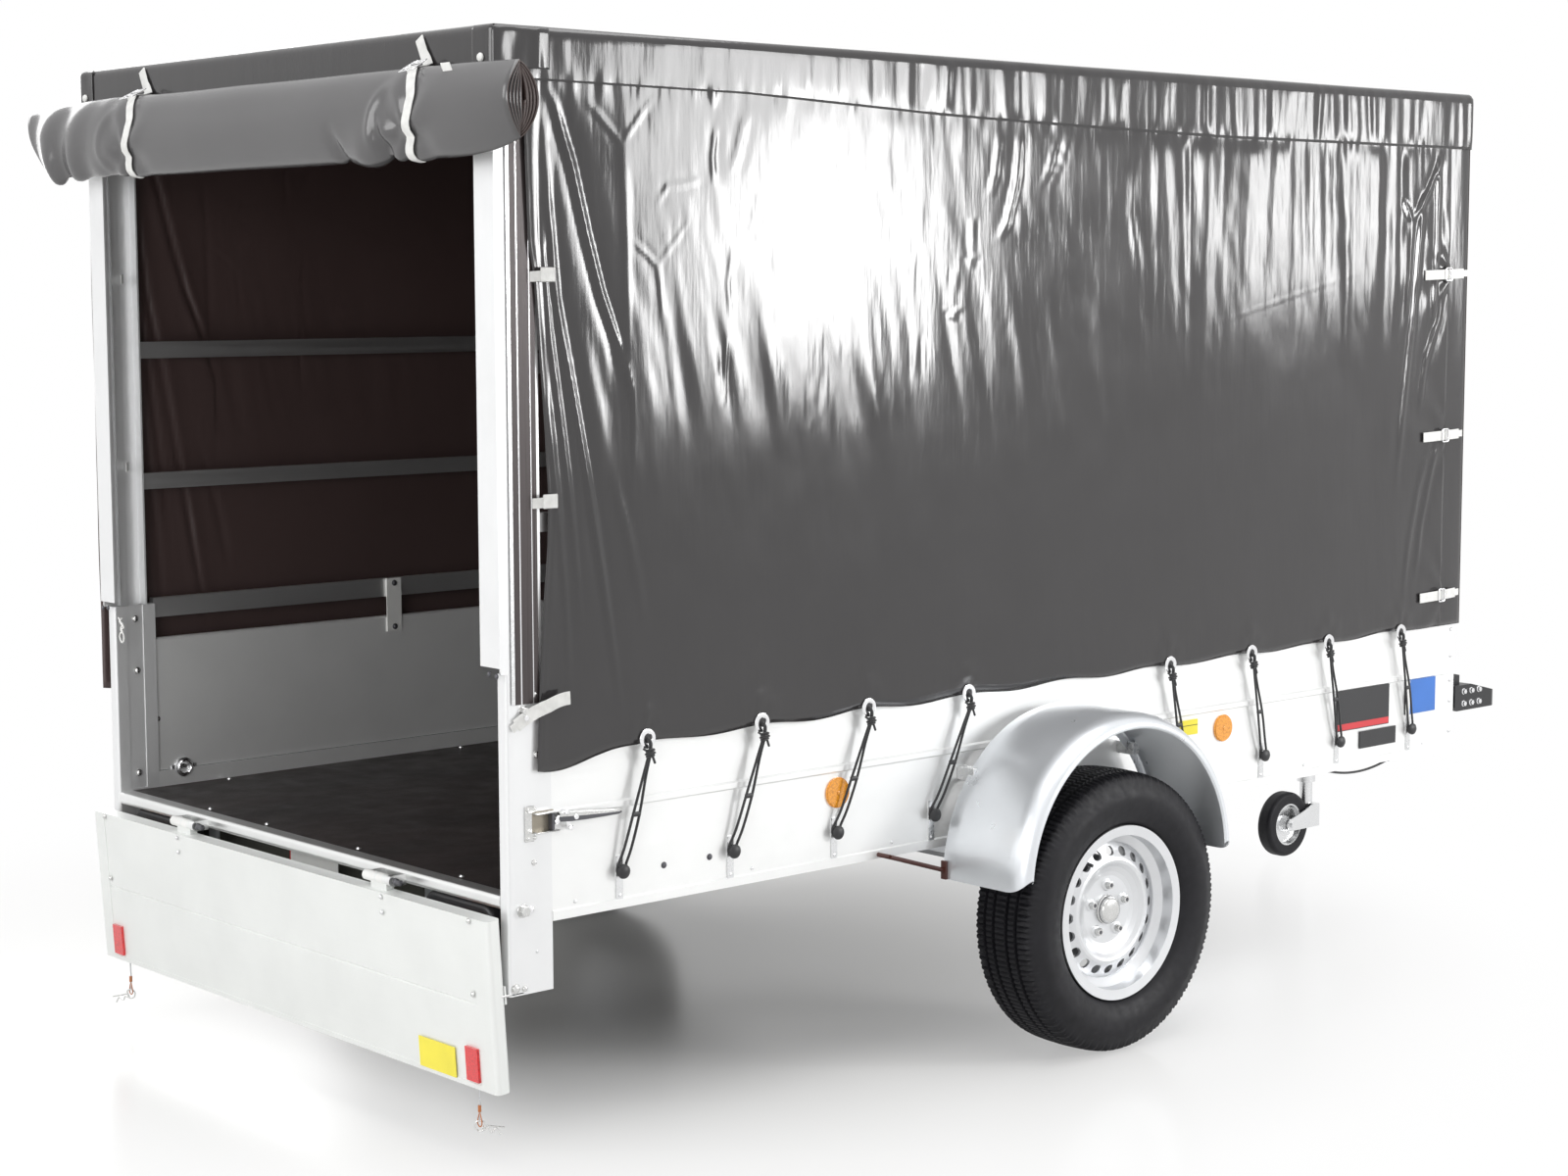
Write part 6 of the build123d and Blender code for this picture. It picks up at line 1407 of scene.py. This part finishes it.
def tail_lamp_lenses():
    """Three-part lenses on the tail lamps: amber, red and clear fields, and a red triangle."""
    low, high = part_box("tail_lamps")
    shape = Shape("tail_lamp_lenses")
    fields = ((0.016, 0.085, AMBER), (0.085, 0.150, RED), (0.150, 0.219, CLEAR))
    for side in (-1, 1):
        for near, far, finish in fields:
            shape.slab((low.x - 0.004, side * (high.y - near - 0.001), low.z + 0.016),
                       (low.x + 0.004, side * (high.y - far + 0.001), high.z - 0.022), finish, 0.003)
        middle = Vector((low.x - 0.004, side * (high.y - 0.1175), low.z + 0.034))
        shape.lathe(middle, BACK, [(0, 0.014), (0.002, 0.013), (0.003, 0.008)], RED, 3)
    shape.build("chassis")


def number_plate():
    """Dark border and screws on the blank number plate, and a blank label on the sill above it."""
    low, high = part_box("plate_holder")
    shape = Shape("plate_border")
    wide = 0.003
    y0, y1, z0, z1 = low.y + 0.006, high.y - 0.006, low.z + 0.005, high.z - 0.005
    for left, right, bottom, top in (
        (y0, y1, z0, z0 + wide), (y0, y1, z1 - wide, z1), (y0, y0 + wide, z0, z1), (y1 - wide, y1, z0, z1),
    ):
        shape.slab((low.x - 0.0008, left, bottom), (low.x + 0.001, right, top), BLACK, 0.0003)
    for y in (-0.15, 0.15):
        bolt(shape, Vector((low.x, y, (low.z + high.z) / 2)), BACK, 0.005)
    shape.build("chassis")
    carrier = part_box("lamp_carrier")[0].x
    label = Shape("carrier_label")
    for proud, y, z, finish in (
        (0.0006, -0.085, 0.462, PLATE),
        (0.0009, 0.101, 0.462, RED_LABEL),
        (0.0009, -0.085, 0.504, RED_LABEL),
    ):
        label.slab((carrier - proud, y, z), (carrier + 0.0008, 0.105, 0.508), finish, 0.0002)
    label.build("chassis")


def tie_down_rings():
    """Folding lashing rings on the inner faces of the side walls."""
    shape = Shape("lashing_rings")
    dish = [(0, 0.024), (0.003, 0.024), (0.005, 0.020), (0.005, 0.013), (0.002, 0.009)]
    for side in (-1, 1):
        inward = LEFT * -side
        for x in (0.171, 2.850):
            spot = place(x, side * (WALL_OUT - 0.0255), 0.568)
            shape.lathe(spot, inward, dish, ZINC, 28)
            shape.slab((spot.x - 0.033, spot.y, spot.z - 0.008),
                       (spot.x + 0.033, spot.y - side * 0.003, spot.z + 0.008), ZINC, 0.001)
            ring = circle(spot + inward * 0.009 + UP * 0.002, 0.016, 24)
            shape.wire(ring, 0.006, CHROME, up=LEFT, loop=True)
    shape.build("chassis")


def hairpin(shape, spot, along, down, finish, size):
    """R-shaped wire clip: an eye, a straight leg and a wavy leg that end side by side."""
    straight = [(0.056, -0.001), (0.034, -0.001), (0.020, -0.001)]
    turns = [radians(angle) for angle in range(150, -151, -25)]
    eye = [(0.010 * (1 - cos(turn)), 0.010 * sin(turn)) for turn in turns]
    wavy = [(0.016, 0.008), (0.025, 0.003), (0.032, 0.011), (0.040, 0.003), (0.050, 0.013)]
    path = [spot + (along * a + down * b) * size for a, b in straight + eye + wavy]
    shape.wire(smooth_path(path, 3), 0.0032 * size, finish, up=along.cross(down).normalized())


def retaining_clip():
    """White hairpin clip on the left rear post, just above the top edge of the closed tailgate."""
    shape = Shape("post_clip")
    route = [
        (0.016, 0.034), (0.004, 0.022), (-0.008, 0.012), (0.006, 0.002), (-0.004, -0.008),
        (0.006, -0.018), (0.010, -0.034), (0.000, -0.046), (-0.010, -0.036), (-0.006, -0.018),
        (0.004, -0.004), (-0.012, 0.006), (0.010, 0.020), (0.000, 0.034),
    ]
    path = []
    for index, (aside, lift) in enumerate(route):
        path.append(place(-0.004 - 0.0008 * (index % 3), 0.703 + aside, 0.917 + 0.70 * lift))
    shape.wire(smooth_path(path, 4), 0.0040, WHITE, up=AHEAD)
    shape.build("chassis")


# ---- tailgate -------------------------------------------------------------------------------------
GATE_TOP = 0.492                                # upper edge of the hanging tailgate
GATE_TALL = 0.345
GATE_LEAN = 0.022                               # how far its lower edge hangs ahead of its upper one
GATE_TILT = atan2(GATE_LEAN, GATE_TALL)
GATE_OUT = Vector((-cos(GATE_TILT), 0, -sin(GATE_TILT)))


def on_gate(y, z, lift=0.0002):
    """Point on the tailgate's face that shows while it hangs."""
    return place(-0.0540 + GATE_LEAN * (GATE_TOP - z) / GATE_TALL, y, z) + GATE_OUT * lift


def gate_fittings():
    """Rivets, small screws and a blank label on the hanging tailgate."""
    shape = Shape("gate_fittings")
    for side in (-1, 1):
        inner = side * 0.390 + (0.0 if side > 0 else -0.026)
        for y, z, radius, finish in (
            (side * 0.718, 0.484, 0.0050, STEEL),
            (side * 0.716, 0.338, 0.0050, STEEL),
            (side * 0.716, 0.223, 0.0036, DARK_STEEL),
            (inner, 0.482, 0.0042, ZINC),
            (inner, 0.450, 0.0042, ZINC),
        ):
            bolt(shape, on_gate(y, z), GATE_OUT, radius, finish)
    label = Matrix.Translation(on_gate(-0.580, 0.186, 0.0008)) @ Matrix.Rotation(-GATE_TILT, 4, "Y")
    shape.slab((-0.0006, -0.062, -0.031), (0.0006, 0.062, 0.031), YELLOW, 0.0002, label)
    shape.build("tailgate")


def gate_hinges():
    """White hinge barrels and bright pins on the hinge lugs of the sill."""
    shape = Shape("sill_hinges")
    pin = [(0, 0.0030), (0.002, 0.0060), (0.014, 0.0060), (0.016, 0.0075), (0.022, 0.0075), (0.024, 0.0050)]
    collar = [(0, 0.0045), (0.006, 0.0045)]
    for middle in (-0.386, 0.386):
        turned = [(middle - 0.070, pin, DARK_STEEL, 12), (middle - 0.052, collar, CHROME, 12)]
        for y, half in ((middle - 0.004, 0.013), (middle + 0.034, 0.024)):
            barrel = [(0, 0.0085), (0.003, 0.0112), (2 * half - 0.003, 0.0112), (2 * half, 0.0085)]
            turned.insert(0, (y - half, barrel, WHITE, 18))
        for y, profile, finish, sides in turned:
            shape.lathe(place(-0.030, y, 0.512), LEFT, profile, finish, sides)
    shape.build("chassis")


def rear_gap_shade():
    """Dark strip behind the gap between the lamp carrier and the sill: painted shade for the underside seen
    through the gap.
    """
    shape = Shape("gap_shade_strip")
    shape.slab((REAR + 0.0985, -0.722, 0.430), (REAR + 0.1015, 0.722, 0.513), GAP_SHADE, 0.0008)
    shape.build("chassis")


def stake_channels():
    """Bright ribs, and grooves in a dark finish that paints their shade, along the outer sides of the two
    rear stakes.
    """
    shape = Shape("stake_channels")
    for side in (-1, 1):
        for x0, x1, finish, proud in (
            (0.0120, 0.0200, ZINC, 0.0004), (0.0200, 0.0330, SHADE_METAL, 0.0006),
            (0.0330, 0.0360, CHROME, 0.0016), (0.0360, 0.0620, SHADE_METAL, 0.0006),
            (0.0620, 0.0640, CHROME, 0.0016), (0.0640, 0.0760, SHADE_METAL, 0.0008),
        ):
            shape.slab((REAR + x0, side * (STAKE_OUT - 0.0005), 0.902),
                       (REAR + x1, side * (STAKE_OUT + proud), 2.072), finish, 0.0002)
        for inset, z in ((0.010, 0.960), (0.034, 0.962)):
            bolt(shape, place(-0.0151, side * (STAKE_OUT - inset), z), BACK, 0.0045, DARK_STEEL)
    shape.build("chassis")


def lanyards():
    """Thin coated wires with a crimped loop, each holding a hairpin clip."""
    low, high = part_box("gate_lanyards")
    made = []
    x = (low.x + high.x) / 2
    top = high.z
    bottom = low.z
    ferrule = [(0, 0.0026), (0.001, 0.0034), (0.013, 0.0034), (0.014, 0.0026)]
    loop = [
        (0, 0.016), (-0.005, 0.004), (-0.007, -0.008), (0, -0.0135),
        (0.007, -0.008), (0.005, 0.004), (0, 0.016),
    ]
    for side, along in ((-1, Vector((0.70, -0.70, -0.06))), (1, Vector((-0.52, 0.82, -0.22)))):
        y = side * (high.y - 0.002)
        curve = bpy.data.curves.new("lanyard", "CURVE")
        curve.dimensions = "3D"
        curve.bevel_depth = 0.0016
        curve.bevel_resolution = 3
        curve.materials.append(WIRE)
        spline = curve.splines.new("NURBS")
        route = [(x, y, top), (x, y, top - 0.022), (x + 0.001, y - 0.001, top - 0.045), (x, y, bottom)]
        spline.points.add(len(route) - 1)
        for point, spot in zip(spline.points, route):
            point.co = (*spot, 1)
        spline.order_u = 3
        spline.use_endpoint_u = True
        wire = show("lanyard_" + HAND[side], curve)
        clip = Shape("hairpin_" + HAND[side])
        clip.lathe((x, y, bottom + 0.016), UP, ferrule, SLEEVE, 12)
        clip.wire(smooth_path([(x, y + dy, bottom + dz) for dy, dz in loop], 3), 0.0024, SLEEVE, up=AHEAD)
        along.normalize()
        down = along.cross(Vector((along.y, -along.x, 0)).normalized())
        hairpin(clip, Vector((x, y, bottom - 0.012)) - along * 0.010, along, down, STEEL, 1.05)
        pin = clip.build("tailgate")
        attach(wire, "tailgate")
        made.append((wire, pin))
    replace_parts(made[0][0], "gate_lanyards")
    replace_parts(made[0][1], "lanyard_clips")


# ---- coupling -------------------------------------------------------------------------------------
def coupling_bolts():
    """Cross bolts of the coupling and its nose plate."""
    low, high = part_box("coupling_head")
    shape = Shape("coupling_bolts")
    for side in (-1, 1):
        for x in (0.081, 0.121, 0.161):
            for z in (0.022, 0.060):
                spot = Vector((low.x + x, side * high.y, low.z + z))
                bolt(shape, spot, LEFT * side, 0.008, CHROME, False)
    shape.build("chassis")


# ---- stage ----------------------------------------------------------------------------------------
def seen_rays(tree):
    """Socket that is 1 for rays from the camera and for mirrored or refracted ones, else 0."""
    path = tree.nodes.new("ShaderNodeLightPath")
    total = path.outputs["Is Camera Ray"]
    for name in ("Is Glossy Ray", "Is Transmission Ray"):
        both = tree.nodes.new("ShaderNodeMath")
        both.operation = "MAXIMUM"
        tree.links.new(total, both.inputs[0])
        tree.links.new(path.outputs[name], both.inputs[1])
        total = both.outputs[0]
    return total


def stage():
    """Pale floor that fades into a white surround."""
    mesh = bpy.data.meshes.new("floor")
    corners = [(-40, -40, 0), (40, -40, 0), (40, 40, 0), (-40, 40, 0)]
    mesh.from_pydata(corners, [], [(0, 1, 2, 3)])
    floor = show("floor", mesh)
    finish = Finish("studio_floor", (0.76, 0.755, 0.74), 0.22, **{"Specular IOR Level": 0.40})
    emission = finish.add("ShaderNodeEmission", {"Color": (1, 1, 1, 1), "Strength": 1.0})
    mix = finish.add("ShaderNodeMixShader")
    spot = finish.add("ShaderNodeTexCoord")
    away = finish.add("ShaderNodeVectorMath", operation="DISTANCE")
    finish.link(spot.outputs["Object"], away.inputs[0])
    # painted light: white is mixed over the floor's shading away from a point under the left half of the
    # trailer, so the near right side is painted lighter while the shade under the trailer stays
    away.inputs[1].default_value = (-0.9, 0.5, 0.0)
    limits = {"From Min": 0.6, "From Max": 2.5, "To Min": 0.0, "To Max": 1.0}
    fade = finish.add("ShaderNodeMapRange", limits, interpolation_type="SMOOTHSTEP")
    finish.link(away.outputs["Value"], fade.inputs["Value"])
    share = finish.add("ShaderNodeMath", operation="MULTIPLY")
    finish.link(seen_rays(finish.tree), share.inputs[0])
    finish.link(fade.outputs["Result"], share.inputs[1])
    finish.link(share.outputs[0], mix.inputs["Fac"])
    finish.link(finish.shader.outputs[0], mix.inputs[1])
    finish.link(emission.outputs[0], mix.inputs[2])
    finish.link(mix.outputs[0], finish.tree.nodes["Material Output"].inputs["Surface"])
    mesh.materials.append(finish.material)

    world = bpy.data.worlds.new("studio")
    bpy.context.scene.world = world
    world.use_nodes = True
    tree = world.node_tree
    background = tree.nodes["Background"]
    background.inputs["Color"].default_value = (1, 1, 1, 1)
    strength = tree.nodes.new("ShaderNodeMapRange")
    strength.inputs["To Min"].default_value = 0.36
    strength.inputs["To Max"].default_value = 1.0
    tree.links.new(seen_rays(tree), strength.inputs["Value"])
    tree.links.new(strength.outputs["Result"], background.inputs["Strength"])


def lamp(name, spot, target, wide, tall, radiance, shape="RECTANGLE"):
    """Flat studio lamp; its power follows from its size and its brightness."""
    light = bpy.data.lights.new(name, "AREA")
    light.shape = shape
    light.size = wide
    light.size_y = tall
    light.energy = radiance * pi * wide * tall * (pi / 4 if shape == "ELLIPSE" else 1.0)
    made = show(name, light)
    made.location = place(*spot)
    made.rotation_euler = (place(*target) - place(*spot)).to_track_quat("-Z", "Y").to_euler()


def lights():
    """Three round boxes that the tarpaulin mirrors, and soft light from above, behind and the left."""
    lamp("box_front_right", (4.48, -5.0, 2.14), (4.48, 0, 2.14), 2.20, 1.90, 10.5, "ELLIPSE")
    lamp("box_front_core", (4.85, -5.1, 1.85), (4.85, 0, 1.85), 1.45, 1.20, 12.0, "ELLIPSE")
    lamp("box_far_right", (7.95, -5.0, 2.15), (7.95, 0, 2.15), 1.25, 1.35, 14.0, "ELLIPSE")
    lamp("top", (0.8, -1.0, 5.6), (1.2, 0, 0.8), 5.0, 5.0, 2.8)
    lamp("rear", (-5.0, 1.0, 3.4), (0, 0, 0.8), 3.4, 3.0, 4.0)
    lamp("beside_camera", (-4.6, -3.4, 2.2), (0.6, 0.6, 0.9), 2.2, 2.0, 6.5)
    lamp("left", (2.0, 6.0, 3.0), (1.5, 0, 1.0), 4.0, 3.0, 3.0)


def camera():
    """Camera at the rear right, at the photo's place and angle."""
    data = bpy.data.cameras.new("camera")
    data.sensor_width = 36.0
    data.lens = 64.08
    made = show("camera", data)
    yaw, pitch, roll = radians(48.189), radians(6.252), radians(-0.134)
    forward = Vector((cos(pitch) * cos(yaw), cos(pitch) * sin(yaw), -sin(pitch)))
    right = Vector((sin(yaw), -cos(yaw), 0))
    up = right.cross(forward)
    across = right * cos(roll) + up * sin(roll)
    upright = up * cos(roll) - right * sin(roll)
    turn = Matrix((across, upright, -forward)).transposed()
    eye = place(-3.1068, -5.0426, 1.7025)
    made.matrix_world = Matrix.Translation(eye) @ turn.to_4x4()
    bpy.context.scene.camera = made


def main():
    """Stage first, then the solids' materials and the modelled pieces; each sheet is put on the chassis as
    it is made.
    """
    stage()
    camera()
    lights()
    dress_nodes()
    sides = [side_panel(-1), side_panel(1)]
    roof = roof_sheet()
    front = front_panel()
    boxes = corner_boxes()
    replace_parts(roof, "cover")
    roll = flap_roll()
    roll_straps()
    closing_straps()
    post_straps()
    eyelets()
    ties_and_buttons()
    for side in (-1, 1):
        tyre(side)
        wheel_fittings(side)
    mudguards()
    chassis_bolts()
    hinge_plates()
    side_latches()
    labels()
    reflector_rims()
    tail_lamp_lenses()
    number_plate()
    tie_down_rings()
    retaining_clip()
    gate_fittings()
    gate_hinges()
    rear_gap_shade()
    stake_channels()
    lanyards()
    coupling_bolts()


bpy.context.scene.view_settings.view_transform = "Standard"
main()
